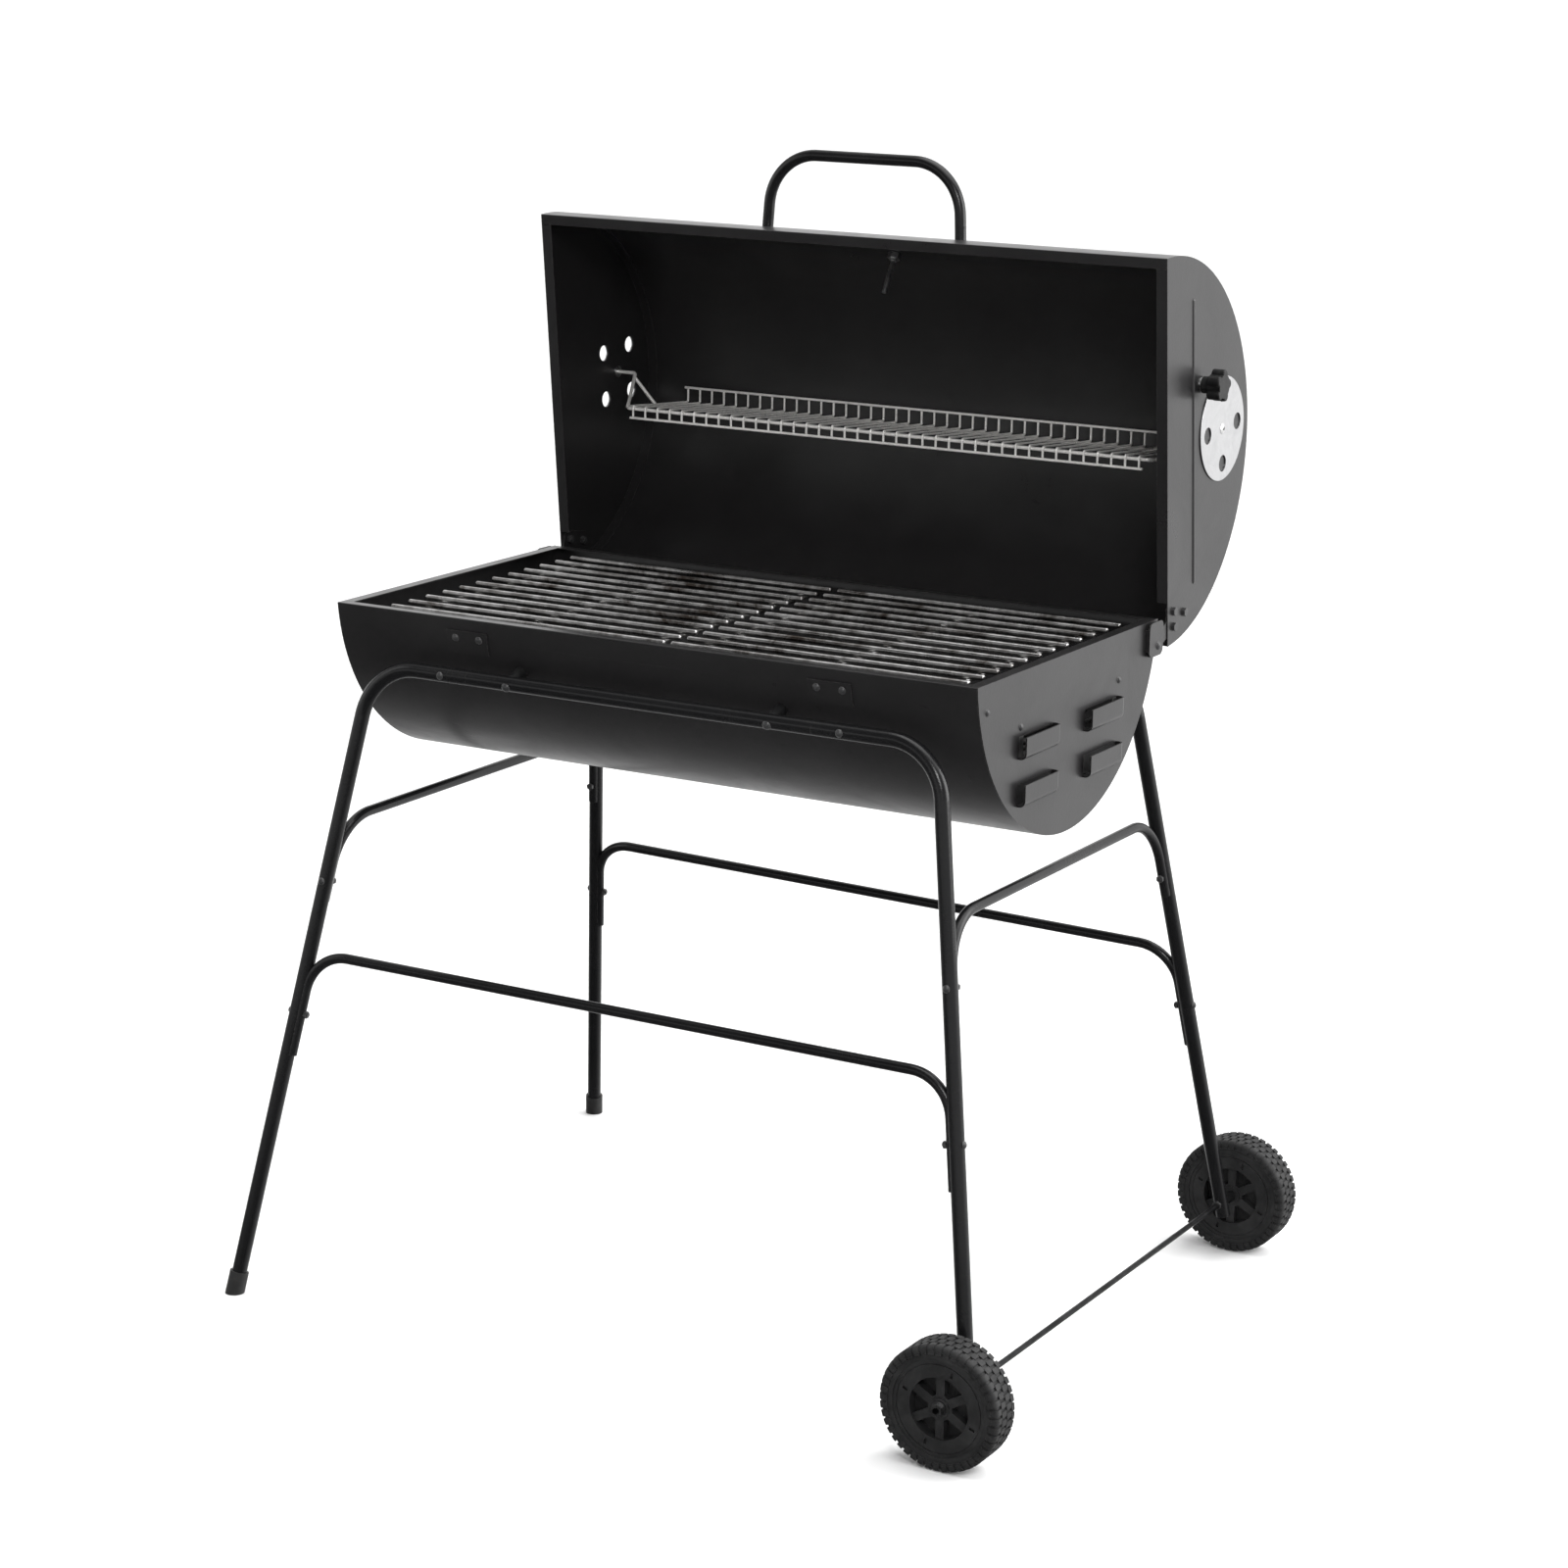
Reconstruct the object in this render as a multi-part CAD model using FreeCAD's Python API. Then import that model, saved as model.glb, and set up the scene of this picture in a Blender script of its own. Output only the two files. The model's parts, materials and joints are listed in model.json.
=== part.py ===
import FreeCAD, Part
import math
import os

# Barrel charcoal grill, in millimetres.
# +X runs along the barrel towards the wheels, -Y is the cook's side and +Z is up.
# Everything is laid out from the middle of the barrel, and moved at the end so that the
# origin is on the floor under the middle of the whole object with its lid open.

V = FreeCAD.Vector
X_AXIS = V(1, 0, 0)
Y_AXIS = V(0, 1, 0)
Z_AXIS = V(0, 0, 1)
SIDES = {"left": -1, "right": 1}
ENDS = {"front": -1, "rear": 1}

# ---- fixings ----
SCREW_R = 2.0
SCREW_HOLE_R = SCREW_R + 0.05
BOLT_R = 2.5
BOLT_HOLE_R = BOLT_R + 0.05
STUD_R = 3.0

# ---- barrel ----
SHEET = 1.2                      # sheet steel
BARREL_R = 205.0                 # outer radius of bowl and lid
BOWL_LENGTH = 758.0              # over the end panels
RIM_Z = 735.0                    # top of the bowl's rim
BOWL_AXIS_Z = RIM_Z + 20.0       # the bowl is a little less than half a barrel
FOLD = 11.0                      # width of the folded-in rims
RIM_ROUND = 0.9                  # outer radius of a folded edge
SKIN_R = BARREL_R - SHEET
BOWL_END_X = BOWL_LENGTH / 2

# ---- lid and its hinge ----
ARM_GAP = 0.3                    # hinge arm to bowl end panel
ARM_T = 1.8
LID_END_X = BOWL_END_X + ARM_GAP + ARM_T + SHEET
LID_IN_X = LID_END_X - SHEET
LID_Z = RIM_Z + 1.8              # opening plane of the closed lid
HINGE_Y = 195.5
HINGE_Z = 708.5
LID_OPEN_DEG = 84.5
PIN_R = 2.5
PIN_CLEARANCE = 0.05
BRACKET_REACH = 5.5              # outer face of the hinge bracket beyond the bowl's end
ARM_BOLTS = ((170.0, LID_Z + 14), (177.4, LID_Z + 40), (186.7, LID_Z + 14))

# ---- bowl ends ----
LOUVRE_LENGTH = 78.0
LOUVRE_HEIGHT = 23.0
LOUVRE_DEPTH = 9.0
LOUVRE_ROUND = 7.0
LOUVRE_WALL = 1.6
LOUVRE_Y = 74.0
LOUVRE_TOPS = (669.5, 621.5)
HANGER_SCREWS = ((-110.0, 679.0), (113.0, 686.0))    # y and z
CORNER_SCREW = (-183.0, 707.0)

# ---- grates ----
BAR_R = 3.0
BAR_COUNT = 13
BAR_PITCH = 31.0
GRATE_HALF_X = 345.0
GRATE_SPLIT = 4.0
LEDGE_Z = 723.0
REST_GAP = 0.3                   # between each loose grate and what it lies on
LEDGE_X = 215.0
LEDGE_WIDTH = 50.0
LEDGE_SCREW_Z = 714.5
LEDGE_SCREW_X = 14.5             # to each side of the ledge's middle
COAL_Z = 640.0
COAL_ROD_R = 2.5

# ---- legs ----
TUBE_R = 8.0
TUBE_WALL = 1.2
TOP_TUBE_Y = 213.0
TOP_TUBE_Z = 676.0
LEG_BEND_R = 62.0
LEG_TOP_X = {"left": -327.0, "right": 344.0}
LEG_END = {"left": V(-423.0, 350.0, 7.0), "right": V(441.0, 306.0, 50.0)}
JOINT_X = 205.0                  # where a leg tube meets the straight top tube
JOINT_SCREW_X = 237.0
SPIGOT_X = 262.0                 # reduced end of the top tube inside the leg tube
BOWL_BOLT_X = 155.0
BRACE_R = 5.5
BRACE_SEAT = 5.5                 # leg axis to brace axis, where the end is pressed round the leg
LONG_BRACE = {"end": 262.0, "bolt": 307.0, "top": 372.0, "bend": 48.0, "drop": 9.0}
SIDE_BRACE = {"end": 426.0, "bolt": 447.0, "top": 512.0, "bend": 58.0, "drop": 0.0}

# ---- wheels ----
WHEEL_R = 65.0
WHEEL_HALF = 20.0                # half its width over the tread blocks
WHEEL_Y = 346.0
AXLE_R = 3.0
TYRE_IN_R = 50.0
LUG_COUNT = 44
TREAD_DEPTH = 1.8
SHOULDER_R = 5.0
RIM_HALF = 17.5
HUB_R = 10.0
HUB_HALF = 16.0
POCKET_R = 32.0

# ---- lid furniture, in the closed lid ----
VENT_Z = LID_Z + 136.0
VENT_R = 56.0
VENT_HOLE_R = 9.0
VENT_HOLE_PCD_R = 38.0
VENT_REST_DEG = {"left": 45.0, "right": 0.0}
BUSH_R = 4.0
BEAD_Z = LID_Z + 65.0
BEAD_HALF = 150.0
KNOB_Y = -57.5
KNOB_Z = LID_Z + 86.5
KNOB_R = 17.5
HANDLE_HALF = 119.0
HANDLE_TOP_HALF = 114.0
HANDLE_HEIGHT = 78.5
HANDLE_R = 6.2
HANDLE_BEND_R = 57.0
HANDLE_DEG = 14.0                # round the lid from its front edge
HANDLE_LEAN_DEG = 7.5
THERMO_DEG = 36.0
CASE_R = 23.0
FACE_R = 20.5
THREAD_R = 4.0
PROBE_R = 2.5
PROBE_LENGTH = 49.0

# ---- warming rack, measured from its pivots ----
RACK_WIRE_R = 2.0
RACK_HALF_X = 330.0
RACK_FRONT_Y = -62.0
RACK_REAR_Y = 50.0
RACK_FRONT_Z = -31.0
RACK_REAR_Z = -39.0
CROSS_R = 1.25
RAIL_R = 1.5
CROSS_COUNT = 40
CROSS_HALF_X = 318.0
FENCE = 15.0
LIP = 12.0

parts = {}


# ================= helpers =================

def rod(start, end, radius):
    """Solid round rod from start to end."""
    along = end - start
    return Part.makeCylinder(radius, along.Length, start, along)


def ring(start, end, outer, inner):
    """Hollow cylinder from start to end."""
    return rod(start, end, outer).cut(rod(start, end, inner))


def block(x0, x1, y0, y1, z0, z1):
    low = V(min(x0, x1), min(y0, y1), min(z0, z1))
    size = V(abs(x1 - x0), abs(y1 - y0), abs(z1 - z0))
    return Part.makeBox(size.x, size.y, size.z, low)


def prism(points, along):
    """Solid from a closed outline of straight edges, pushed along a vector."""
    face = Part.Face(Part.makePolygon(points + [points[0]]))
    return face.extrude(along)


def hexagon(centre, axis, across, height):
    """Hexagonal nut blank standing on centre, across its flats."""
    side = X_AXIS if abs(axis.x) < 0.9 else Z_AXIS
    u = axis.cross(side).normalize()
    w = axis.cross(u).normalize()
    r = across / math.sqrt(3)
    points = []
    for i in range(6):
        a = math.radians(60 * i)
        points.append(centre + u * (r * math.cos(a)) + w * (r * math.sin(a)))
    return prism(points, axis * height)


def screw(seat, axis, head_r, head_height, shank_r, length):
    """Round-headed screw with the underside of its head on seat and its head along axis."""
    ball_r = (head_r ** 2 + head_height ** 2) / (2 * head_height)
    ball_z = head_height - ball_r
    half = math.asin(head_r / ball_r) / 2
    crown = V(ball_r * math.sin(half), 0, ball_z + ball_r * math.cos(half))
    edges = [
        Part.makeLine(V(0, 0, -length), V(shank_r, 0, -length)),
        Part.makeLine(V(shank_r, 0, -length), V(shank_r, 0, 0)),
        Part.makeLine(V(shank_r, 0, 0), V(head_r, 0, 0)),
        Part.Arc(V(head_r, 0, 0), crown, V(0, 0, head_height)).toShape(),
        Part.makeLine(V(0, 0, head_height), V(0, 0, -length)),
    ]
    body = Part.Face(Part.Wire(edges)).revolve(V(0, 0, 0), Z_AXIS, 360)
    body.Placement = FreeCAD.Placement(seat, FreeCAD.Rotation(Z_AXIS, axis))
    return body


def nut(centre, axis, hole_r, across, height):
    return hexagon(centre, axis, across, height).cut(rod(centre - axis, centre + axis * (height + 1), hole_r))


def round_path(points, radius):
    """Wire of straight runs through points, with an arc of one radius at each inner point."""
    edges = []
    start = points[0]
    for i in range(1, len(points) - 1):
        back = (points[i - 1] - points[i]).normalize()
        ahead = (points[i + 1] - points[i]).normalize()
        half = back.getAngle(ahead) / 2
        tangent = radius / math.tan(half)
        first = points[i] + back * tangent
        last = points[i] + ahead * tangent
        middle_dir = (back + ahead).normalize()
        centre = points[i] + middle_dir * (radius / math.sin(half))
        middle = centre - middle_dir * radius
        edges.append(Part.LineSegment(start, first).toShape())
        edges.append(Part.Arc(first, middle, last).toShape())
        start = last
    edges.append(Part.LineSegment(start, points[-1]).toShape())
    return Part.Wire(edges)


def sweep(path, start, towards, radius):
    """Round bar swept along a path that leaves start in the direction of towards."""
    circle = Part.Wire(Part.makeCircle(radius, start, (towards - start).normalize()))
    return path.makePipeShell([circle], True, False)


def bent_rod(points, bend_r, radius):
    return sweep(round_path(points, bend_r), points[0], points[1], radius)


def bent_tube(points, bend_r, outer, wall):
    inner_radius = outer - wall
    return bent_rod(points, bend_r, outer).cut(bent_rod(points, bend_r, inner_radius))


def mirrored_x(shape):
    return shape.mirror(V(0, 0, 0), X_AXIS)


def mirrored_y(shape):
    return shape.mirror(V(0, 0, 0), Y_AXIS)


def on_side(shape, side):
    """A shape drawn for the right end, put at the named end."""
    return shape if side == "right" else mirrored_x(shape)


def half_plane_z(z, above):
    big = 2000.0
    return block(-big, big, -big, big, z, z + big if above else z - big)


def join(shapes):
    first = shapes[0]
    return first.fuse(shapes[1:]).removeSplitter() if len(shapes) > 1 else first


def group(shapes):
    return Part.makeCompound(shapes)


def barrel_sector(x0, x1, axis_z, outer, inner, cut_z, above):
    """Part of a tube along X, on one side of a horizontal plane."""
    tube = ring(V(x0, 0, axis_z), V(x1, 0, axis_z), outer, inner)
    return tube.common(half_plane_z(cut_z, above))


def barrel_plate(x0, x1, axis_z, radius, cut_z, above):
    disc = rod(V(x0, 0, axis_z), V(x1, 0, axis_z), radius)
    return disc.common(half_plane_z(cut_z, above))


def rounded_long_edges(shape, y, z):
    """Rounds the long straight edges of a rim at a given height and half width."""
    picked = []
    for edge in shape.Edges:
        box = edge.BoundBox
        long_edge = box.XLength > 300 and box.YLength < 0.01 and box.ZLength < 0.01
        if long_edge and abs(abs(box.YMin) - y) < 0.1 and abs(box.ZMin - z) < 0.01:
            picked.append(edge)
    return shape.makeFillet(RIM_ROUND, picked) if picked else shape


# ================= bowl =================

def bowl_shell():
    """Lower half of the barrel with its two folded-in long rims."""
    end = BOWL_END_X - SHEET
    skin = barrel_sector(-end, end, BOWL_AXIS_Z, BARREL_R, SKIN_R, RIM_Z, False)
    inside = rod(V(-end, 0, BOWL_AXIS_Z), V(end, 0, BOWL_AXIS_Z), BARREL_R)
    half_width = math.sqrt(BARREL_R ** 2 - (BOWL_AXIS_Z - RIM_Z) ** 2)
    pieces = [skin]
    for sign in (-1, 1):
        fold = block(-end, end, sign * (half_width - FOLD), sign * (half_width + 5), RIM_Z - SHEET, RIM_Z)
        pieces.append(fold.common(inside))
    shell = join(pieces)
    shell = rounded_long_edges(shell, half_width, RIM_Z)
    return shell


def rounded_hood(x_back, x_front, y0, y1, z0, z1, radius):
    """Box whose outer, lower and rear edges are rounded into one another."""
    hood = block(x_back, x_front, y0, y1, z0, z1)
    picked = []
    for edge in hood.Edges:
        box = edge.BoundBox
        outer_bottom = box.YLength > 1 and abs(box.XMin - x_front) < 0.01 and abs(box.ZMin - z0) < 0.01
        outer_rear = box.ZLength > 1 and abs(box.XMin - x_front) < 0.01 and abs(box.YMin - y1) < 0.01
        bottom_rear = box.XLength > 1 and abs(box.YMin - y1) < 0.01 and abs(box.ZMin - z0) < 0.01
        if outer_bottom or outer_rear or bottom_rear:
            picked.append(edge)
    return hood.makeFillet(radius, picked)


def louvre(y_mid, top):
    """Hood and hollow of one pressed louvre on the right end, open along its top and at its front end."""
    y0 = y_mid - LOUVRE_LENGTH / 2
    y1 = y_mid + LOUVRE_LENGTH / 2
    z0 = top - LOUVRE_HEIGHT
    x_out = BOWL_END_X + LOUVRE_DEPTH
    hood = rounded_hood(BOWL_END_X - SHEET / 2, x_out, y0, y1, z0, top, LOUVRE_ROUND)
    wall = LOUVRE_WALL
    inner_round = LOUVRE_ROUND - wall
    hollow = rounded_hood(BOWL_END_X - 9, x_out - wall, y0 - 9, y1 - wall, z0 + wall, top + 9, inner_round)
    over_sheet = block(BOWL_END_X, x_out, y0 - 1, y1, z0, top + 1)
    in_sheet = block(BOWL_END_X - 4, BOWL_END_X, y0, y1, z0, top)
    return hood, hollow.common(join([over_sheet, in_sheet]))


def bowl_end():
    """Right end panel of the bowl with its folded top edge, inner lip and four louvres."""
    face_x = BOWL_END_X - SHEET
    panel = barrel_plate(face_x, BOWL_END_X, BOWL_AXIS_Z, BARREL_R, RIM_Z, False)
    fold = block(face_x - FOLD, face_x, -192.5, 192.5, RIM_Z - SHEET, RIM_Z)
    lip_r = SKIN_R - 0.05
    lip = barrel_sector(face_x - FOLD, face_x, BOWL_AXIS_Z, lip_r, SKIN_R - SHEET, RIM_Z - 30.0, False)
    panel = join([panel, fold, lip])
    hoods = []
    hollows = []
    for y_mid in (-LOUVRE_Y, LOUVRE_Y):
        for top in LOUVRE_TOPS:
            hood, hollow = louvre(y_mid, top)
            hoods.append(hood)
            hollows.append(hollow)
    panel = join([panel] + hoods)
    for hollow in hollows:
        panel = panel.cut(hollow)
    for y, z in HANGER_SCREWS + (CORNER_SCREW,):
        panel = panel.cut(rod(V(face_x - 2, y, z), V(BOWL_END_X + 2, y, z), SCREW_HOLE_R))
    return panel.cut(rod(V(face_x - 2, HINGE_Y, HINGE_Z), V(BOWL_END_X + 2, HINGE_Y, HINGE_Z), PIN_R))


def end_screws():
    """Round-headed screws and nuts through one end panel."""
    shapes = []
    for y, z in HANGER_SCREWS:
        inner = BOWL_END_X - SHEET - 1.5
        shapes.append(screw(V(BOWL_END_X, y, z), X_AXIS, 4.0, 2.4, SCREW_R, SHEET + 6.5))
        shapes.append(nut(V(inner, y, z), X_AXIS * -1, SCREW_R, 7.0, 3.2))
    y, z = CORNER_SCREW
    shapes.append(screw(V(BOWL_END_X, y, z), X_AXIS, 4.0, 2.4, SCREW_R, SHEET + 5.0))
    shapes.append(nut(V(BOWL_END_X - SHEET, y, z), X_AXIS * -1, SCREW_R, 7.0, 3.2))
    return shapes


def coal_hangers():
    """Two hook straps on the right end panel that carry the charcoal grate."""
    x1 = BOWL_END_X - SHEET
    shapes = []
    for y, z in HANGER_SCREWS:
        strap = block(x1 - 1.5, x1, y - 9, y + 9, COAL_Z - 8, z + 9)
        foot = block(x1 - 40, x1, y - 9, y + 9, COAL_Z - 9.5, COAL_Z - 8)
        strap = join([strap, foot])
        screw_hole = rod(V(x1 - 4, y, z), V(x1 + 1, y, z), SCREW_HOLE_R)
        shapes.append(strap.cut(screw_hole))
    return shapes


def charcoal_grate():
    """Welded rod grate: long rails with cross rods laid on them."""
    shapes = []
    rail_r = 3.0
    rail_z = COAL_Z - 8 + REST_GAP + rail_r
    for y in (HANGER_SCREWS[0][0], 0.0, HANGER_SCREWS[1][0]):
        shapes.append(rod(V(-372.0, y, rail_z), V(372.0, y, rail_z), rail_r))
    count = 29
    pitch = 25.0
    half_y = 148.0
    for i in range(count):
        x = (i - (count - 1) / 2) * pitch
        z = rail_z + rail_r + COAL_ROD_R
        shapes.append(rod(V(x, -half_y, z), V(x, half_y, z), COAL_ROD_R))
    return group(shapes)


def skin_point(radius, z):
    """Front point of a barrel circle at height z, and the outward direction there."""
    y = -math.sqrt(radius ** 2 - (z - BOWL_AXIS_Z) ** 2)
    outward = V(0, y, z - BOWL_AXIS_Z).normalize()
    return V(0, y, z), outward


def ledge_screw_spots():
    spots = []
    for middle in (-LEDGE_X, LEDGE_X):
        for offset in (-LEDGE_SCREW_X, LEDGE_SCREW_X):
            spots.append(middle + offset)
    return spots


def drill_ledge(shape):
    spot, outward = skin_point(BARREL_R, LEDGE_SCREW_Z)
    for x in ledge_screw_spots():
        shift = V(x, 0, 0)
        shape = shape.cut(rod(spot + shift - outward * 12, spot + shift + outward * 6, SCREW_HOLE_R))
    return shape


def grate_ledges():
    """Two curved-back angle ledges inside the front wall."""
    shapes = []
    for middle in (-LEDGE_X, LEDGE_X):
        x0 = middle - LEDGE_WIDTH / 2
        x1 = middle + LEDGE_WIDTH / 2
        back = ring(V(x0, 0, BOWL_AXIS_Z), V(x1, 0, BOWL_AXIS_Z), SKIN_R, SKIN_R - 1.5)
        back = back.common(block(x0, x1, -250, -100, LEDGE_Z - 24, LEDGE_Z))
        shelf = block(x0, x1, -178, -215, LEDGE_Z - 1.5, LEDGE_Z)
        shelf = shelf.common(rod(V(x0, 0, BOWL_AXIS_Z), V(x1, 0, BOWL_AXIS_Z), SKIN_R))
        shapes.append(drill_ledge(join([back, shelf])))
    return shapes


def ledge_pads():
    """Backing plates on the outside of the front wall, behind the ledge screws."""
    shapes = []
    for middle in (-LEDGE_X, LEDGE_X):
        x0 = middle - LEDGE_WIDTH / 2
        x1 = middle + LEDGE_WIDTH / 2
        pad = ring(V(x0, 0, BOWL_AXIS_Z), V(x1, 0, BOWL_AXIS_Z), BARREL_R + 1.8, BARREL_R)
        pad = pad.common(block(x0, x1, -250, -100, LEDGE_Z - 25, LEDGE_Z - 1))
        shapes.append(drill_ledge(pad))
    return shapes


def ledge_screws(head_r):
    """Screws through pad, wall and ledge. head_r is where the heads sit."""
    shapes = []
    spot, outward = skin_point(BARREL_R, LEDGE_SCREW_Z)
    head_spot = spot + outward * (head_r - BARREL_R)
    tail = spot - outward * (SHEET + 1.5)
    for x in ledge_screw_spots():
        shift = V(x, 0, 0)
        shapes.append(screw(head_spot + shift, outward, 4.2, 2.6, SCREW_R, head_r - BARREL_R + SHEET + 6.0))
        shapes.append(nut(tail + shift - outward * 0.1, outward * -1, SCREW_R, 7.0, 3.0))
    return shapes


def cooking_grate():
    """Right half of the cooking surface: round bars with free ends, on three cross bars."""
    shapes = []
    bar_z = LEDGE_Z + REST_GAP + BAR_R
    for i in range(BAR_COUNT):
        y = (i - (BAR_COUNT - 1) / 2) * BAR_PITCH
        bar = rod(V(GRATE_SPLIT, y, bar_z), V(GRATE_HALF_X, y, bar_z), BAR_R)
        ends = []
        for edge in bar.Edges:
            if edge.BoundBox.XLength < 0.01 and edge.Length > BAR_R:
                ends.append(edge)
        shapes.append(bar.makeFillet(BAR_R * 0.6, ends))
    cross_half = BAR_PITCH * (BAR_COUNT - 1) / 2 - 12.0
    for x in (GRATE_SPLIT + 22.0, (GRATE_SPLIT + GRATE_HALF_X) / 2 + 8.0, GRATE_HALF_X - 22.0):
        shapes.append(rod(V(x, -cross_half, bar_z - 2 * BAR_R), V(x, cross_half, bar_z - 2 * BAR_R), BAR_R))
    return group(shapes)


# ================= legs =================

def leg_points(side, end):
    """Axis of one leg tube from its joint in the top tube to its lower end."""
    sign = ENDS[end]
    direction = SIDES[side]
    tip = LEG_END[side]
    return [
        V(direction * JOINT_X, sign * TOP_TUBE_Y, TOP_TUBE_Z),
        V(LEG_TOP_X[side], sign * TOP_TUBE_Y, TOP_TUBE_Z),
        V(tip.x, sign * tip.y, tip.z),
    ]


def leg_axis_at(side, end, z):
    """Point of a leg's straight axis at height z."""
    top, tip = leg_points(side, end)[1:]
    return top + (tip - top) * ((top.z - z) / (top.z - tip.z))


def brace_offset(side, end, towards):
    """Shift from a leg's axis to the axis of the brace end that is pressed round its inner side."""
    axis = (leg_axis_at(side, end, 100.0) - leg_axis_at(side, end, 500.0)).normalize()
    inward = towards - axis * towards.dot(axis)
    return inward.normalize() * BRACE_SEAT


def brace_specs():
    """Name, sizes and two ends of each brace.

    An end is its leg, its inward direction and how far it is lowered.
    """
    specs = []
    for end in ENDS:
        left = ("left", end, X_AXIS, 0.0)
        right = ("right", end, X_AXIS * -1, LONG_BRACE["drop"])
        specs.append((end + "_brace", LONG_BRACE, left, right))
    for side in SIDES:
        front = (side, "front", Y_AXIS, 0.0)
        rear = (side, "rear", Y_AXIS * -1, SIDE_BRACE["drop"])
        specs.append((side + "_brace", SIDE_BRACE, front, rear))
    return specs


def brace_end_points(place, heights):
    """Lower and upper point of a brace's axis along one leg."""
    side, end, towards, drop = place
    shift = brace_offset(side, end, towards)
    low = leg_axis_at(side, end, heights["end"] - drop) + shift
    top = leg_axis_at(side, end, heights["top"] - drop) + shift
    return low, top


def brace_bolt_line(place, heights):
    """Ends of a bolt through leg and brace, from leg side to brace side, and its direction."""
    side, end, towards, drop = place
    shift = brace_offset(side, end, towards)
    across = V(shift).normalize()
    leg = leg_axis_at(side, end, heights["bolt"] - drop)
    return leg - across * TUBE_R, leg + shift + across * BRACE_R, across


def brace(heights, first, second):
    """U-shaped tube whose ends are pressed round two legs."""
    low_a, top_a = brace_end_points(first, heights)
    low_b, top_b = brace_end_points(second, heights)
    tube = bent_tube([low_a, top_a, top_b, low_b], heights["bend"], BRACE_R, 1.0)
    for place in (first, second):
        side, end = place[0], place[1]
        tube = tube.cut(rod(leg_axis_at(side, end, 200.0), leg_axis_at(side, end, 600.0), TUBE_R))
    return tube


def bolt_between(start, end, across, shank_r):
    """Round-headed bolt from start to end with a nut on the far side."""
    bolt = screw(start, across * -1, 4.0, 2.6, shank_r, (end - start).Length + 4.5)
    return [bolt, nut(end + across * 0.05, across, shank_r, 7.0, 3.2)]


def brace_bolts():
    shapes = []
    for _, heights, first, second in brace_specs():
        for place in (first, second):
            start, end, across = brace_bolt_line(place, heights)
            shapes.extend(bolt_between(start, end, across, SCREW_R))
    return shapes


def brace_bolt_holes():
    """Clearance rods for every brace bolt."""
    holes = []
    for _, heights, first, second in brace_specs():
        for place in (first, second):
            start, end, across = brace_bolt_line(place, heights)
            holes.append(rod(start - across * 4, end + across * 4, SCREW_HOLE_R))
    return holes


def bowl_bolt_geometry(end):
    """Tube centre, skin point and outward direction where a leg frame bolts to the bowl."""
    centre = V(0, ENDS[end] * TOP_TUBE_Y, TOP_TUBE_Z)
    outward = V(0, centre.y, TOP_TUBE_Z - BOWL_AXIS_Z).normalize()
    skin = V(0, 0, BOWL_AXIS_Z) + outward * BARREL_R
    return centre, skin, outward


def bowl_bolt_holes():
    holes = []
    for end in ENDS:
        centre, skin, outward = bowl_bolt_geometry(end)
        for x in (-BOWL_BOLT_X, BOWL_BOLT_X):
            shift = V(x, 0, 0)
            holes.append(rod(skin + shift - outward * 6, centre + shift + outward * 12, BOLT_HOLE_R))
    return holes


def bowl_bolts():
    shapes = []
    for end in ENDS:
        centre, skin, outward = bowl_bolt_geometry(end)
        for x in (-BOWL_BOLT_X, BOWL_BOLT_X):
            shift = V(x, 0, 0)
            head_spot = centre + shift + outward * TUBE_R
            tail = skin + shift - outward * SHEET
            shapes.append(screw(head_spot, outward, 5.0, 3.2, BOLT_R, (head_spot - tail).Length + 6.0))
            shapes.append(nut(tail - outward * 0.2, outward * -1, BOLT_R, 8.0, 4.0))
    return shapes


def bowl_spacers():
    """Saddle spacers between bowl and top tubes."""
    shapes = []
    for end in ENDS:
        centre, skin, outward = bowl_bolt_geometry(end)
        for x in (-BOWL_BOLT_X, BOWL_BOLT_X):
            shift = V(x, 0, 0)
            spacer = rod(skin + shift - outward * 3, centre + shift, 7.0)
            spacer = spacer.cut(rod(V(-300, 0, BOWL_AXIS_Z), V(300, 0, BOWL_AXIS_Z), BARREL_R))
            spacer = spacer.cut(rod(centre + V(x - 20, 0, 0), centre + V(x + 20, 0, 0), TUBE_R))
            spacer = spacer.cut(rod(skin + shift - outward * 6, centre + shift, BOLT_HOLE_R))
            shapes.append(spacer)
    return shapes


def joint_screw_line(side, end):
    centre = V(SIDES[side] * JOINT_SCREW_X, ENDS[end] * TOP_TUBE_Y, TOP_TUBE_Z)
    outward = V(0, ENDS[end], 0)
    return centre, outward


def joint_screws():
    shapes = []
    for side in SIDES:
        for end in ENDS:
            centre, outward = joint_screw_line(side, end)
            shapes.append(screw(centre + outward * TUBE_R, outward, 4.2, 2.6, SCREW_R, 2 * TUBE_R + 1.5))
    return shapes


def joint_screw_holes():
    holes = []
    for side in SIDES:
        for end in ENDS:
            centre, outward = joint_screw_line(side, end)
            holes.append(rod(centre - outward * 12, centre + outward * 12, SCREW_HOLE_R))
    return holes


def axle_centre():
    """Axle height is the wheels' radius, and it crosses the right legs' axes."""
    return leg_axis_at("right", "front", WHEEL_R)


def leg(side, end):
    points = leg_points(side, end)
    tube = bent_tube(points, LEG_BEND_R, TUBE_R, TUBE_WALL)
    for hole in brace_bolt_holes() + joint_screw_holes():
        if hole.BoundBox.intersect(tube.BoundBox):
            tube = tube.cut(hole)
    if side == "right":
        axle = axle_centre()
        tube = tube.cut(rod(V(axle.x, -400, WHEEL_R), V(axle.x, 400, WHEEL_R), AXLE_R))
    return tube


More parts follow.
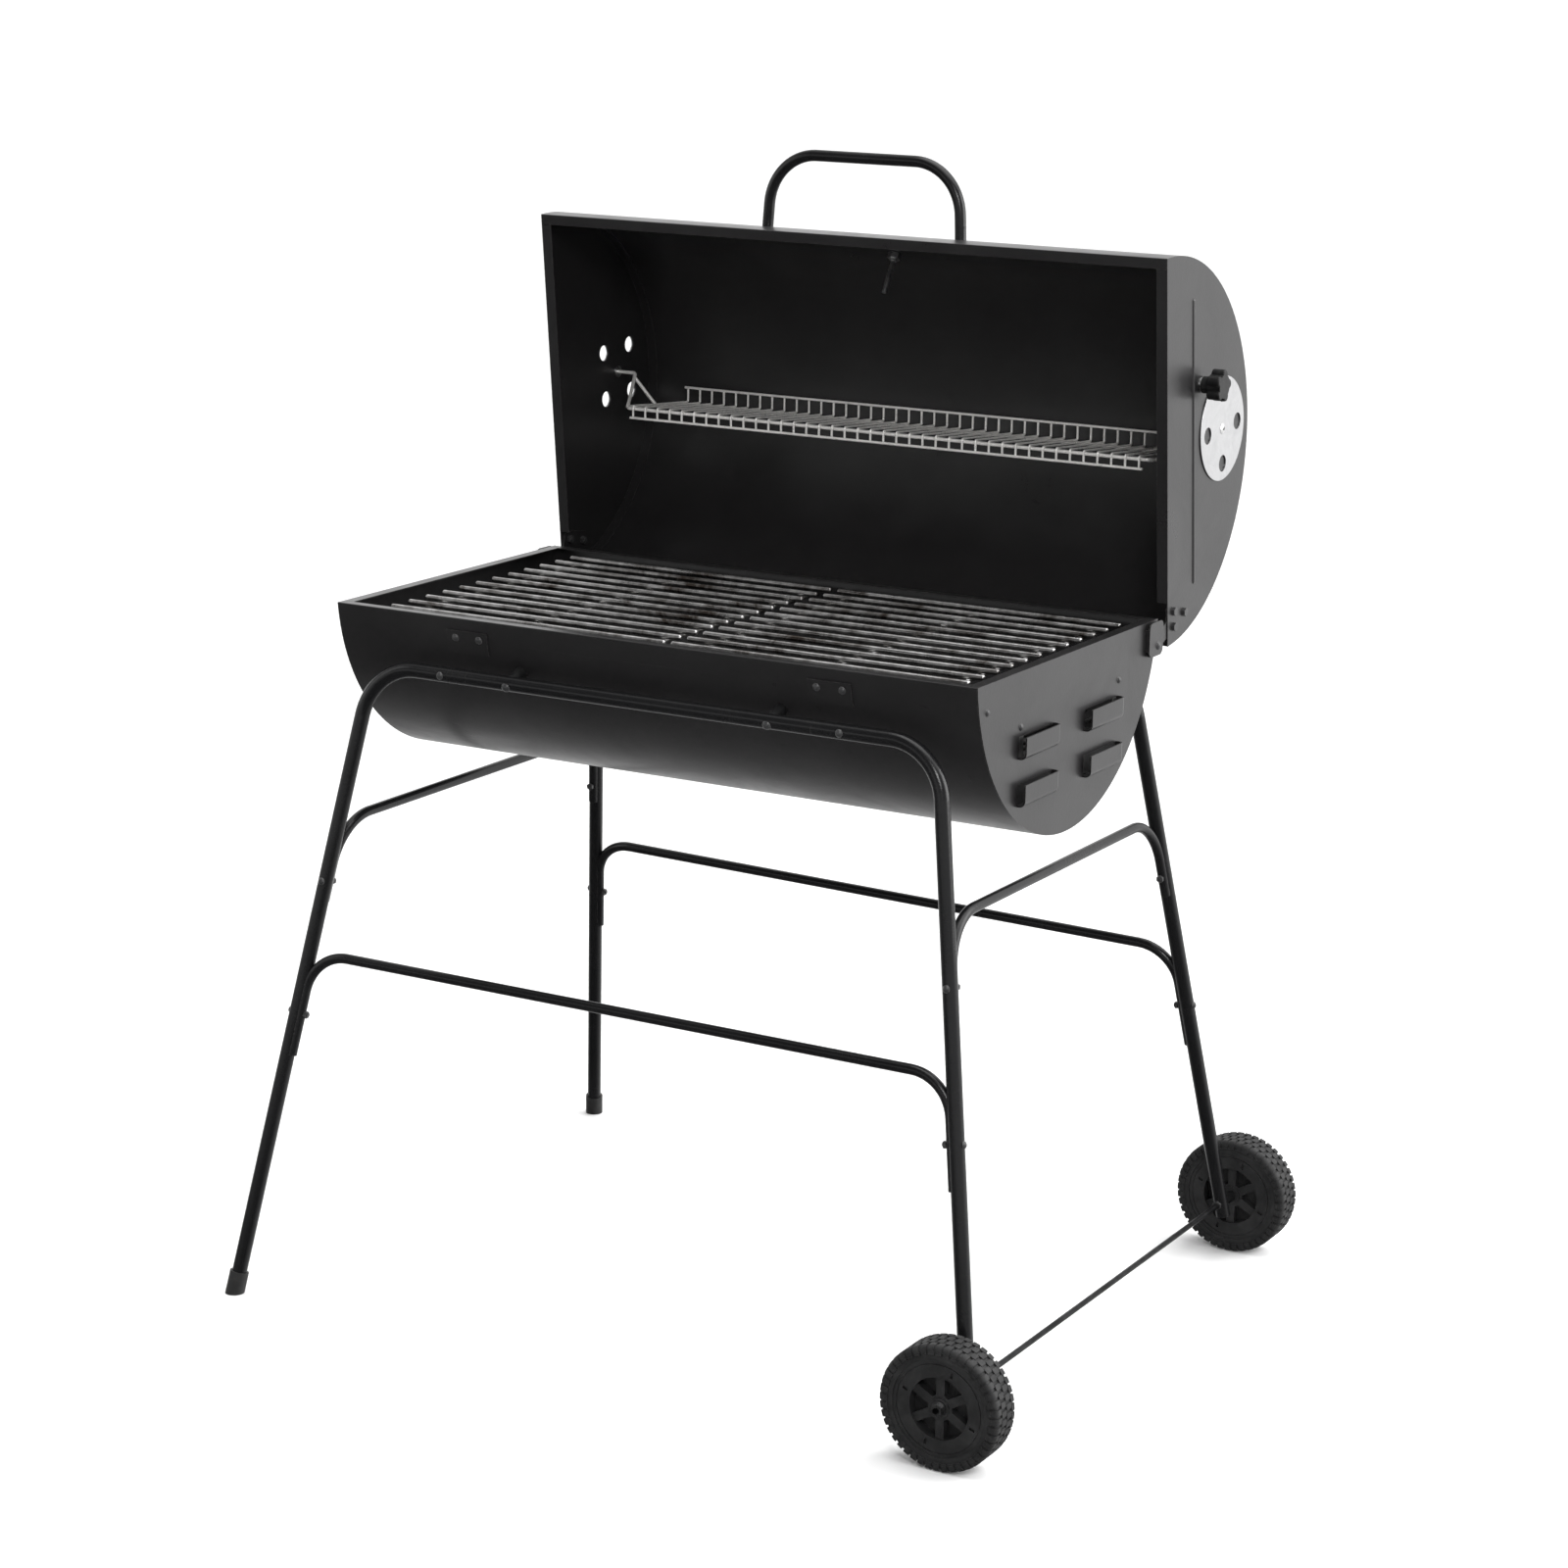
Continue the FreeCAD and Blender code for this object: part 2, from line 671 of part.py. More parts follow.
def top_tube(end):
    """Straight top tube with a reduced spigot at each end, inside the leg tubes."""
    y = ENDS[end] * TOP_TUBE_Y
    spigot_r = TUBE_R - TUBE_WALL - 0.05
    body = rod(V(-JOINT_X, y, TOP_TUBE_Z), V(JOINT_X, y, TOP_TUBE_Z), TUBE_R)
    spigot = rod(V(-SPIGOT_X, y, TOP_TUBE_Z), V(SPIGOT_X, y, TOP_TUBE_Z), spigot_r)
    bore = rod(V(-SPIGOT_X, y, TOP_TUBE_Z), V(SPIGOT_X, y, TOP_TUBE_Z), spigot_r - TUBE_WALL)
    tube = body.fuse(spigot).cut(bore)
    for hole in joint_screw_holes() + bowl_bolt_holes():
        if hole.BoundBox.intersect(tube.BoundBox):
            tube = tube.cut(hole)
    return tube


def foot_cap(end):
    """Moulded cap over the lower end of a left leg, flat underneath."""
    tip = leg_axis_at("left", end, LEG_END["left"].z)
    up = (leg_axis_at("left", end, 100.0) - tip).normalize()
    cap = rod(tip - up * 14, tip + up * 17, TUBE_R + 2.2)
    cap = cap.cut(rod(tip, tip + up * 30, TUBE_R))
    return cap.common(half_plane_z(0.0, True))


# ================= wheels =================

def wheel_rim(centre):
    """Moulded rim: flat outer ring with four slots, six spokes between blind pockets, and a hub boss."""
    rim = rod(centre - Y_AXIS * RIM_HALF, centre + Y_AXIS * RIM_HALF, TYRE_IN_R)
    spokes = []
    for i in range(6):
        spoke = block(0, POCKET_R + 2, -30, 30, -4.5, 4.5)
        spoke.rotate(V(0, 0, 0), Y_AXIS, 60.0 * i + 30.0)
        spoke.translate(centre)
        spokes.append(spoke)
    for sign in (-1, 1):
        face = centre + V(0, sign * (RIM_HALF + 1), 0)
        inward = V(0, -sign, 0)
        dish = ring(face, face + inward * 4.0, POCKET_R, HUB_R)
        groove = ring(face, face + inward * 2.0, 46.5, 45.0)
        pockets = ring(face, face + inward * 14.0, POCKET_R, HUB_R + 3)
        pockets = pockets.cut(spokes)
        hub_top = rod(face, centre + V(0, sign * HUB_HALF, 0), HUB_R + 0.01)
        rim = rim.cut([dish, groove, pockets, hub_top])
        for i in range(4):
            slot = block(TYRE_IN_R - 14, TYRE_IN_R - 8, -3, 3, -1.6, 1.6)
            slot.rotate(V(0, 0, 0), Y_AXIS, 90.0 * i + 20.0)
            slot.translate(face + inward * 0.5)
            rim = rim.cut(slot)
    return rim.cut(rod(centre - Y_AXIS * 30, centre + Y_AXIS * 30, AXLE_R + PIN_CLEARANCE))


def tyre_ring(centre, radius, half):
    """Ring of square section with rounded shoulders."""
    body = ring(centre - Y_AXIS * half, centre + Y_AXIS * half, radius, TYRE_IN_R)
    shoulders = []
    for edge in body.Edges:
        if abs(edge.Length - 2 * math.pi * radius) < 0.1:
            shoulders.append(edge)
    return body.makeFillet(SHOULDER_R, shoulders)


def wheel_tyre(centre):
    """Tyre with four staggered rows of tread blocks; the outer rows run on down the sides."""
    base_r = WHEEL_R - TREAD_DEPTH
    body = tyre_ring(centre, base_r, WHEEL_HALF - 1.2)
    envelope = tyre_ring(centre, WHEEL_R, WHEEL_HALF)
    low_side = TYRE_IN_R + 5
    rows = (
        (low_side, -WHEEL_HALF - 1, -10.6, 0.0),
        (base_r - 2, -9.4, -0.7, 0.5),
        (base_r - 2, 0.7, 9.4, 0.0),
        (low_side, 10.6, WHEEL_HALF + 1, 0.5),
    )
    blocks = []
    pitch = 360.0 / LUG_COUNT
    for low_r, low, high, phase in rows:
        for i in range(LUG_COUNT):
            lug = block(low_r, WHEEL_R + 3, low, high, -3.0, 3.0)
            lug.rotate(V(0, 0, 0), Y_AXIS, (i + phase) * pitch + 90.0)
            lug.translate(centre)
            blocks.append(lug)
    lugs = group(blocks).common(envelope)
    return body.fuse(lugs.Solids)


def axle_pieces():
    """Axle rod, spacers between legs and wheels, and washers and nuts."""
    axle = axle_centre()
    reach = WHEEL_Y + HUB_HALF + 8.0
    shaft = rod(V(axle.x, -reach, WHEEL_R), V(axle.x, reach, WHEEL_R), AXLE_R)
    leg_y = abs(axle.y)
    spacers = []
    nuts = []
    for end, sign in ENDS.items():
        start = V(axle.x, sign * leg_y, WHEEL_R)
        stop = V(axle.x, sign * (WHEEL_Y - HUB_HALF - 0.4), WHEEL_R)
        leg_core = rod(leg_axis_at("right", end, 50.0), leg_axis_at("right", end, 90.0), TUBE_R)
        spacers.append(ring(start, stop, 6.0, AXLE_R).cut(leg_core))
        face = V(axle.x, sign * (WHEEL_Y + HUB_HALF + 0.4), WHEEL_R)
        outward = V(0, sign, 0)
        nuts.append(ring(face, face + outward * 1.2, 7.5, AXLE_R))
        nuts.append(nut(face + outward * 1.2, outward, AXLE_R, 10.0, 5.0))
        inner = V(axle.x, sign * (leg_y - TUBE_R - 2.0), WHEEL_R)
        nuts.append(nut(inner, outward * -1, AXLE_R, 9.0, 4.0))
    return shaft, spacers, nuts


# ================= hinge =================

def hinge_bracket():
    """Raised bracket on the bowl's right end that the lid's arm turns behind."""
    y0 = 174.0
    y1 = 207.0
    z0 = 698.0
    z1 = RIM_Z - 0.5
    x0 = BOWL_END_X
    x1 = x0 + BRACKET_REACH
    plate = block(x1 - 1.5, x1, y0, y1, z0, z1)
    corners = []
    for edge in plate.Edges:
        if abs(edge.BoundBox.XLength - 1.5) < 0.01:
            corners.append(edge)
    plate = plate.makeFillet(7.0, corners)
    side_fold = block(x0, x1 - 1.5, y0, y0 + 1.5, z0 + 7, z1 - 7)
    base_fold = block(x0, x1 - 1.5, y0 + 7, HINGE_Y - 3, z0, z0 + 1.5)
    bracket = join([plate, side_fold, base_fold])
    return bracket.cut(rod(V(x0 - 1, HINGE_Y, HINGE_Z), V(x1 + 1, HINGE_Y, HINGE_Z), PIN_R))


def hinge_pin():
    """Round-headed pivot pin, fast in the bracket and flush inside the end panel."""
    seat = V(BOWL_END_X + BRACKET_REACH, HINGE_Y, HINGE_Z)
    return screw(seat, X_AXIS, 5.0, 2.8, PIN_R, BRACKET_REACH + SHEET)


def hinge_arm():
    """Flat arm inside the lid's right end, from its three bolts down to the pivot."""
    x0 = BOWL_END_X + ARM_GAP
    outline = [
        V(x0, HINGE_Y - 8.5, HINGE_Z),
        V(x0, 178.6, LID_Z - 1),
        V(x0, 162.0, LID_Z + 7),
        V(x0, 162.0, LID_Z + 21),
        V(x0, 169.0, LID_Z + 48),
        V(x0, 186.0, LID_Z + 48),
        V(x0, 194.5, LID_Z + 21),
        V(x0, 194.5, LID_Z + 3),
        V(x0, HINGE_Y + 8.5, HINGE_Z),
    ]
    arm = prism(outline, V(ARM_T, 0, 0))
    boss = rod(V(x0, HINGE_Y, HINGE_Z), V(x0 + ARM_T, HINGE_Y, HINGE_Z), 8.5)
    arm = join([arm, boss])
    arm = arm.cut(rod(V(x0 - 1, HINGE_Y, HINGE_Z), V(x0 + 5, HINGE_Y, HINGE_Z), PIN_R + PIN_CLEARANCE))
    for y, z in ARM_BOLTS:
        arm = arm.cut(rod(V(x0 - 1, y, z), V(x0 + 5, y, z), BOLT_HOLE_R))
    return arm


def arm_bolts():
    shapes = []
    for y, z in ARM_BOLTS:
        head = hexagon(V(LID_END_X, y, z), X_AXIS, 8.0, 3.2)
        inner = BOWL_END_X + ARM_GAP
        shank = rod(V(inner - 5, y, z), V(LID_END_X, y, z), BOLT_R)
        shapes.append(join([head, shank]))
        shapes.append(nut(V(inner, y, z), X_AXIS * -1, BOLT_R, 8.0, 3.8))
    return shapes


# ================= lid, drawn closed =================

def lid_direction(degrees):
    """Outward direction round the lid, from its front edge upwards."""
    a = math.radians(degrees)
    return V(0, -math.cos(a), math.sin(a))


def lid_skin_point(degrees, radius):
    return V(0, 0, LID_Z) + lid_direction(degrees) * radius


def lid_shell():
    """Upper half of the barrel with folded rims, and holes for handle and thermometer."""
    skin = barrel_sector(-LID_IN_X, LID_IN_X, LID_Z, BARREL_R, SKIN_R, LID_Z, True)
    inside = rod(V(-LID_IN_X, 0, LID_Z), V(LID_IN_X, 0, LID_Z), BARREL_R)
    clear_of_arms = BOWL_END_X - 0.7
    pieces = [skin]
    for sign, fold_end in ((-1, LID_IN_X), (1, clear_of_arms)):
        y0 = sign * (BARREL_R - FOLD)
        y1 = sign * (BARREL_R + 5)
        fold = block(-fold_end, fold_end, y0, y1, LID_Z, LID_Z + SHEET)
        pieces.append(fold.common(inside))
    shell = join(pieces)
    shell = rounded_long_edges(shell, BARREL_R, LID_Z)
    for sign in (-1, 1):
        base = lid_skin_point(HANDLE_DEG, BARREL_R) + V(sign * HANDLE_HALF, 0, 0)
        out = lid_direction(HANDLE_LEAN_DEG)
        shell = shell.cut(rod(base - out * 12, base + out * 12, BOLT_HOLE_R))
    probe = lid_direction(THERMO_DEG)
    centre = V(0, 0, LID_Z)
    return shell.cut(rod(centre + probe * (SKIN_R - 8), centre + probe * (BARREL_R + 5), THREAD_R))


def vent_hole_spots(turn):
    spots = []
    for i in range(4):
        a = math.radians(90.0 * i + turn)
        spots.append((VENT_HOLE_PCD_R * math.cos(a), VENT_Z + VENT_HOLE_PCD_R * math.sin(a)))
    return spots


def lid_end(side):
    """End panel of the lid: folded edge, pressed bead, vent holes and bolt holes."""
    panel = barrel_plate(LID_IN_X, LID_END_X, LID_Z, BARREL_R, LID_Z, True)
    fold = block(LID_IN_X - FOLD, LID_IN_X, -(BARREL_R - FOLD) + 0.5, 158.0, LID_Z, LID_Z + SHEET)
    lip = barrel_sector(LID_IN_X - FOLD, LID_IN_X, LID_Z, SKIN_R - 0.05, SKIN_R - SHEET, LID_Z + 60.0, True)
    bead_x = LID_END_X - 2.5
    bead = rod(V(bead_x, -BEAD_HALF, BEAD_Z), V(bead_x, BEAD_HALF, BEAD_Z), 4.0)
    for sign in (-1, 1):
        bead = bead.fuse(Part.makeSphere(4.0, V(bead_x, sign * BEAD_HALF, BEAD_Z)))
    bead = bead.common(block(LID_END_X - 0.6, LID_END_X + 3, -250, 250, LID_Z, LID_Z + 200))
    panel = join([panel, fold, lip, bead])
    x0 = LID_IN_X - 3
    x1 = LID_END_X + 3
    for y, z in vent_hole_spots(45.0):
        panel = panel.cut(rod(V(x0, y, z), V(x1, y, z), VENT_HOLE_R))
    panel = panel.cut(rod(V(x0, 0, VENT_Z), V(x1, 0, VENT_Z), BUSH_R))
    for y, z in ARM_BOLTS:
        panel = panel.cut(rod(V(x0, y, z), V(x1, y, z), BOLT_HOLE_R))
    if side == "right":
        panel = panel.cut(rod(V(x0, KNOB_Y, KNOB_Z), V(x1, KNOB_Y, KNOB_Z), STUD_R))
    return panel


def vent_disc(side):
    """Turning damper disc with four holes, on the outside of the lid's end."""
    x0 = LID_END_X + 0.3
    x1 = x0 + 1.2
    disc = rod(V(x0, 0, VENT_Z), V(x1, 0, VENT_Z), VENT_R)
    rims = []
    for edge in disc.Edges:
        if edge.BoundBox.XLength < 0.01 and edge.BoundBox.XMin > x1 - 0.01:
            rims.append(edge)
    disc = disc.makeFillet(0.5, rims)
    for y, z in vent_hole_spots(VENT_REST_DEG[side]):
        disc = disc.cut(rod(V(x0 - 1, y, z), V(x1 + 1, y, z), VENT_HOLE_R))
    return disc.cut(rod(V(x0 - 1, 0, VENT_Z), V(x1 + 1, 0, VENT_Z), BUSH_R + PIN_CLEARANCE))


def vent_bush():
    """Hollow rivet that the damper turns on; the warming rack hangs in its bore."""
    x_in = LID_IN_X - 1.2
    x_out = LID_END_X + 0.3 + 1.2 + 0.3
    body = screw(V(x_out, 0, VENT_Z), X_AXIS, 6.0, 1.4, BUSH_R, x_out - x_in)
    collar = rod(V(x_in, 0, VENT_Z), V(LID_IN_X, 0, VENT_Z), 6.5)
    bush = join([body, collar])
    bore_r = RACK_WIRE_R + 0.08
    return bush.cut(rod(V(x_in - 1, 0, VENT_Z), V(x_out + 3, 0, VENT_Z), bore_r))


def knob_stud():
    """Threaded stud and its nut, fixed in the lid's right end."""
    stud = rod(V(LID_IN_X - 6, KNOB_Y, KNOB_Z), V(LID_END_X + 16, KNOB_Y, KNOB_Z), STUD_R)
    collar = ring(V(LID_END_X, KNOB_Y, KNOB_Z), V(LID_END_X + 1.5, KNOB_Y, KNOB_Z), 8.0, STUD_R)
    inner_nut = nut(V(LID_IN_X, KNOB_Y, KNOB_Z), X_AXIS * -1, STUD_R, 10.0, 5.0)
    return [stud, collar, inner_nut]


def star_knob():
    """Five-lobed hand knob on the stud."""
    x0 = LID_END_X + 1.8
    neck = rod(V(x0, KNOB_Y, KNOB_Z), V(x0 + 11, KNOB_Y, KNOB_Z), 9.0)
    head = rod(V(x0 + 9, KNOB_Y, KNOB_Z), V(x0 + 24, KNOB_Y, KNOB_Z), KNOB_R - 5.0)
    pieces = [neck, head]
    for i in range(5):
        a = math.radians(72.0 * i + 20.0)
        y = KNOB_Y + (KNOB_R - 5.5) * math.cos(a)
        z = KNOB_Z + (KNOB_R - 5.5) * math.sin(a)
        lobe = rod(V(x0 + 9, y, z), V(x0 + 24, y, z), 5.5)
        tips = []
        for edge in lobe.Edges:
            if edge.BoundBox.XLength < 0.01:
                tips.append(edge)
        pieces.append(lobe.makeFillet(1.8, tips))
    knob = join(pieces)
    return knob.cut(rod(V(x0 - 1, KNOB_Y, KNOB_Z), V(x0 + 16, KNOB_Y, KNOB_Z), STUD_R + PIN_CLEARANCE))


def lid_handle():
    """Bent tube handle, with a plug in each foot that its screw goes into."""
    out = lid_direction(HANDLE_LEAN_DEG)
    foot = lid_skin_point(HANDLE_DEG, BARREL_R) + out * 0.5
    tip = foot + out * HANDLE_HEIGHT
    points = [
        V(-HANDLE_HALF, foot.y, foot.z),
        V(-HANDLE_TOP_HALF, tip.y, tip.z),
        V(HANDLE_TOP_HALF, tip.y, tip.z),
        V(HANDLE_HALF, foot.y, foot.z),
    ]
    points[0] = points[0] - out * 4.0
    points[3] = points[3] - out * 4.0
    tube = bent_tube(points, HANDLE_BEND_R, HANDLE_R, 1.2)
    plugs = []
    for sign in (-1, 1):
        base = V(sign * HANDLE_HALF, foot.y, foot.z)
        plugs.append(rod(base - out * 3, base + out * 14, HANDLE_R - 0.8))
    handle = join([tube] + plugs)
    handle = handle.cut(rod(V(-300, 0, LID_Z), V(300, 0, LID_Z), BARREL_R))
    for sign in (-1, 1):
        base = V(sign * HANDLE_HALF, foot.y, foot.z)
        handle = handle.cut(rod(base - out * 8, base + out * 12, BOLT_HOLE_R))
    return handle


def handle_screws():
    shapes = []
    out = lid_direction(HANDLE_LEAN_DEG)
    for sign in (-1, 1):
        outer = lid_skin_point(HANDLE_DEG, BARREL_R) + V(sign * HANDLE_HALF, 0, 0)
        washer_top = outer - out * (SHEET + 0.9)
        seat = washer_top - out * 1.0
        shapes.append(ring(seat, washer_top, 6.0, BOLT_R))
        shapes.append(screw(seat, out * -1, 5.0, 3.2, BOLT_R, 13.0))
    return shapes


def thermometer():
    """Bimetal thermometer pieces: case, face, needle, lens, stem and nut."""
    out = lid_direction(THERMO_DEG)
    centre = V(0, 0, LID_Z)
    base = centre + out * (BARREL_R + 0.6)
    case = rod(base, base + out * 9.0, CASE_R)
    rims = []
    for edge in case.Edges:
        if abs(edge.Length - 2 * math.pi * CASE_R) < 0.1:
            rims.append(edge)
    case = case.makeFillet(1.6, rims)
    case = case.cut(rod(base + out * 1.5, base + out * 12, FACE_R))
    boss = ring(centre + out * (BARREL_R - 0.4), base, 9.0, THREAD_R)
    boss = boss.cut(rod(V(-20, 0, LID_Z), V(20, 0, LID_Z), BARREL_R))
    case = join([case, boss])
    case = case.cut(rod(base - out * 5, base + out * 3, THREAD_R))
    face = rod(base + out * 1.6, base + out * 2.6, FACE_R - 0.1)
    face = face.cut(rod(base, base + out * 4, 1.3))
    lens = rod(base + out * 7.0, base + out * 8.4, FACE_R - 0.1)
    hub = rod(base + out * 3.0, base + out * 4.4, 2.4)
    up = out.cross(X_AXIS).normalize()
    along = (X_AXIS * -1 - up).normalize()
    side = along.cross(out)
    low = base + out * 3.2
    blade = prism([low - side * 1.5 - along * 5, low + side * 1.5 - along * 5, low + along * 16], out * 0.7)
    needle = join([hub, blade])
    probe = rod(base - out * PROBE_LENGTH, base + out * 1.5, PROBE_R)
    thread = rod(base - out * 11.0, base + out * 1.5, THREAD_R)
    spindle = rod(base + out * 1.5, base + out * 2.9, 1.2)
    stem = join([probe, thread, spindle])
    lock = nut(centre + out * (SKIN_R - 0.6), out * -1, THREAD_R, 13.0, 6.0)
    return {"case": case, "face": face, "lens": lens, "needle": needle, "stem": stem, "nut": lock}


# ================= warming rack, drawn level =================

def rack_height(y):
    """Height of the rack's frame wire below the pivots at depth y."""
    share = (y - RACK_FRONT_Y) / (RACK_REAR_Y - RACK_FRONT_Y)
    return RACK_FRONT_Z + (RACK_REAR_Z - RACK_FRONT_Z) * share


def rack_frame(pivot):
    """Outer frame wire of the rack, with rounded corners."""
    corners = [
        V(-RACK_HALF_X, RACK_FRONT_Y, RACK_FRONT_Z),
        V(RACK_HALF_X, RACK_FRONT_Y, RACK_FRONT_Z),
        V(RACK_HALF_X, RACK_REAR_Y, RACK_REAR_Z),
        V(-RACK_HALF_X, RACK_REAR_Y, RACK_REAR_Z),
    ]
    start = V(0, RACK_FRONT_Y, RACK_FRONT_Z)
    points = [start + pivot]
    for corner in (corners[1], corners[2], corners[3], corners[0]):
        points.append(corner + pivot)
    points.append(V(-0.5, RACK_FRONT_Y, RACK_FRONT_Z) + pivot)
    open_loop = bent_rod(points, 8.0, RACK_WIRE_R)
    closing = rod(points[-1] - X_AXIS * 0.5, start + pivot + X_AXIS * 0.5, RACK_WIRE_R)
    return join([open_loop, closing])


def rack_cross_wires(pivot):
    """Cross wires laid on the frame: turned down in front, turned up behind."""
    lift = RACK_WIRE_R + CROSS_R
    front_y = RACK_FRONT_Y - lift - 0.4
    rear_y = RACK_REAR_Y + 3.0
    front_z = rack_height(front_y) + lift
    rear_z = rack_height(rear_y) + lift
    points = [
        V(0, front_y, front_z - LIP),
        V(0, front_y, front_z),
        V(0, rear_y, rear_z),
        V(0, rear_y, rear_z + FENCE),
    ]
    shapes = []
    wire = bent_rod([p + pivot for p in points], 2.2, CROSS_R)
    for i in range(CROSS_COUNT):
        x = -CROSS_HALF_X + 2 * CROSS_HALF_X * i / (CROSS_COUNT - 1)
        shapes.append(wire.translated(V(x, 0, 0)))
    return shapes, points[0], points[-1]


def rack_edge_rails(pivot, front_foot, fence_top):
    """Rails along the tips of the cross wires."""
    reach = CROSS_HALF_X + 4.0
    shapes = []
    for spot, drop in ((front_foot, -1.0), (fence_top, 1.0)):
        z = spot.z + drop * RAIL_R
        shapes.append(rod(V(-reach, spot.y, z) + pivot, V(reach, spot.y, z) + pivot, RAIL_R))
    return shapes


def rack_hanger(pivot):
    """Right hanger: a wire from the pivot pin to the frame's front corner, and a rear stay."""
    pin_out = V(LID_END_X + 0.2, 0, 0)
    apex = V(357.0, 0, 0)
    foot = V(RACK_HALF_X + 2 * RACK_WIRE_R, RACK_FRONT_Y + 10.0, RACK_FRONT_Z)
    main = bent_rod([p + pivot for p in (pin_out, apex, foot)], 5.0, RACK_WIRE_R)
    stay_top = apex + (foot - apex) * 0.12
    stay_foot = V(RACK_HALF_X + 2 * RACK_WIRE_R, 8.0, rack_height(8.0))
    stay = rod(stay_top + pivot, stay_foot + pivot, RACK_WIRE_R)
    tail = rod(foot + pivot, stay_foot + pivot, RACK_WIRE_R)
    balls = [Part.makeSphere(RACK_WIRE_R, p + pivot) for p in (foot, stay_foot)]
    return join([main, stay, tail] + balls)


# ================= assembly =================

def opened(shape):
    """Turns a piece drawn on the closed lid into the open lid's place."""
    turned = shape.copy()
    turned.rotate(V(0, HINGE_Y, HINGE_Z), X_AXIS, -LID_OPEN_DEG)
    return turned


def opened_point(point):
    turn = FreeCAD.Rotation(X_AXIS, -LID_OPEN_DEG)
    hinge = V(0, HINGE_Y, HINGE_Z)
    return hinge + turn.multVec(point - hinge)


def build_bowl():
    shell = bowl_shell()
    for hole in bowl_bolt_holes():
        shell = shell.cut(hole)
    shell = mirrored_y(drill_ledge(mirrored_y(drill_ledge(shell))))
    parts["bowl_shell"] = shell
    for side in SIDES:
        parts["bowl_end_" + side] = on_side(bowl_end(), side)
    screws = end_screws()
    parts["end_panel_screws"] = group(screws + [mirrored_x(s) for s in screws])
    hangers = coal_hangers()
    parts["charcoal_grate_hangers"] = group(hangers + [mirrored_x(s) for s in hangers])
    parts["charcoal_grate"] = charcoal_grate()
    ledges = grate_ledges()
    parts["grate_ledges"] = group(ledges + [mirrored_y(s) for s in ledges])
    parts["ledge_pads"] = group(ledge_pads())
    rear_screws = [mirrored_y(s) for s in ledge_screws(BARREL_R)]
    parts["ledge_screws"] = group(ledge_screws(BARREL_R + 1.8) + rear_screws)
    right_grate = cooking_grate()
    parts["cooking_grate_right"] = right_grate
    parts["cooking_grate_left"] = mirrored_x(right_grate)


def build_stand():
    for end in ENDS:
        for side in SIDES:
            parts[end + "_leg_" + side] = leg(side, end)
        parts[end + "_top_tube"] = top_tube(end)
    for name, heights, first, second in brace_specs():
        tube = brace(heights, first, second)
        for hole in brace_bolt_holes():
            if hole.BoundBox.intersect(tube.BoundBox):
                tube = tube.cut(hole)
        parts[name] = tube
    parts["foot_caps"] = group([foot_cap(end) for end in ENDS])
    parts["brace_bolts"] = group(brace_bolts())
    parts["leg_joint_screws"] = group(joint_screws())
    parts["bowl_bolts"] = group(bowl_bolts())
    parts["bowl_spacers"] = group(bowl_spacers())


def build_wheels():
    shaft, spacers, nuts = axle_pieces()
    parts["axle"] = shaft
    parts["axle_spacers"] = group(spacers)
    parts["axle_nuts"] = group(nuts)
    axle_x = axle_centre().x
    for end, sign in ENDS.items():
        centre = V(axle_x, sign * WHEEL_Y, WHEEL_R)
        parts["wheel_rim_" + end] = wheel_rim(centre)
        parts["wheel_tyre_" + end] = wheel_tyre(centre)


def build_lid():
    parts["lid_shell"] = opened(lid_shell())
    for side in SIDES:
        parts["hinge_bracket_" + side] = on_side(hinge_bracket(), side)
        parts["hinge_arm_" + side] = opened(on_side(hinge_arm(), side))
        parts["lid_end_" + side] = opened(on_side(lid_end(side), side))
        parts["vent_disc_" + side] = opened(on_side(vent_disc(side), side))
    parts["hinge_pins"] = group([hinge_pin(), mirrored_x(hinge_pin())])
    parts["vent_bushes"] = opened(group([vent_bush(), mirrored_x(vent_bush())]))
    bolts = arm_bolts()
    parts["hinge_arm_bolts"] = opened(group(bolts + [mirrored_x(s) for s in bolts]))
    parts["star_knob"] = opened(star_knob())
    parts["star_knob_stud"] = opened(group(knob_stud()))
    parts["lid_handle"] = opened(lid_handle())
    parts["handle_screws"] = opened(group(handle_screws()))
    for name, shape in thermometer().items():
        parts["thermometer_" + name] = opened(shape)


def build_rack():
    pivot = opened_point(V(0, 0, VENT_Z))
    parts["warming_rack_frame"] = rack_frame(pivot)
    wires, front_foot, fence_top = rack_cross_wires(pivot)
    parts["warming_rack_wires"] = group(wires)
    parts["warming_rack_rails"] = group(rack_edge_rails(pivot, front_foot, fence_top))
    hanger = rack_hanger(pivot)
    parts["warming_rack_hangers"] = group([hanger, mirrored_x(hanger)])


def origin_shift():
    """Brings the floor under the middle of the whole object to the origin."""
    box = FreeCAD.BoundBox()
    for shape in parts.values():
        box.add(shape.BoundBox)
    return V(-box.Center.x, -box.Center.y, 0)


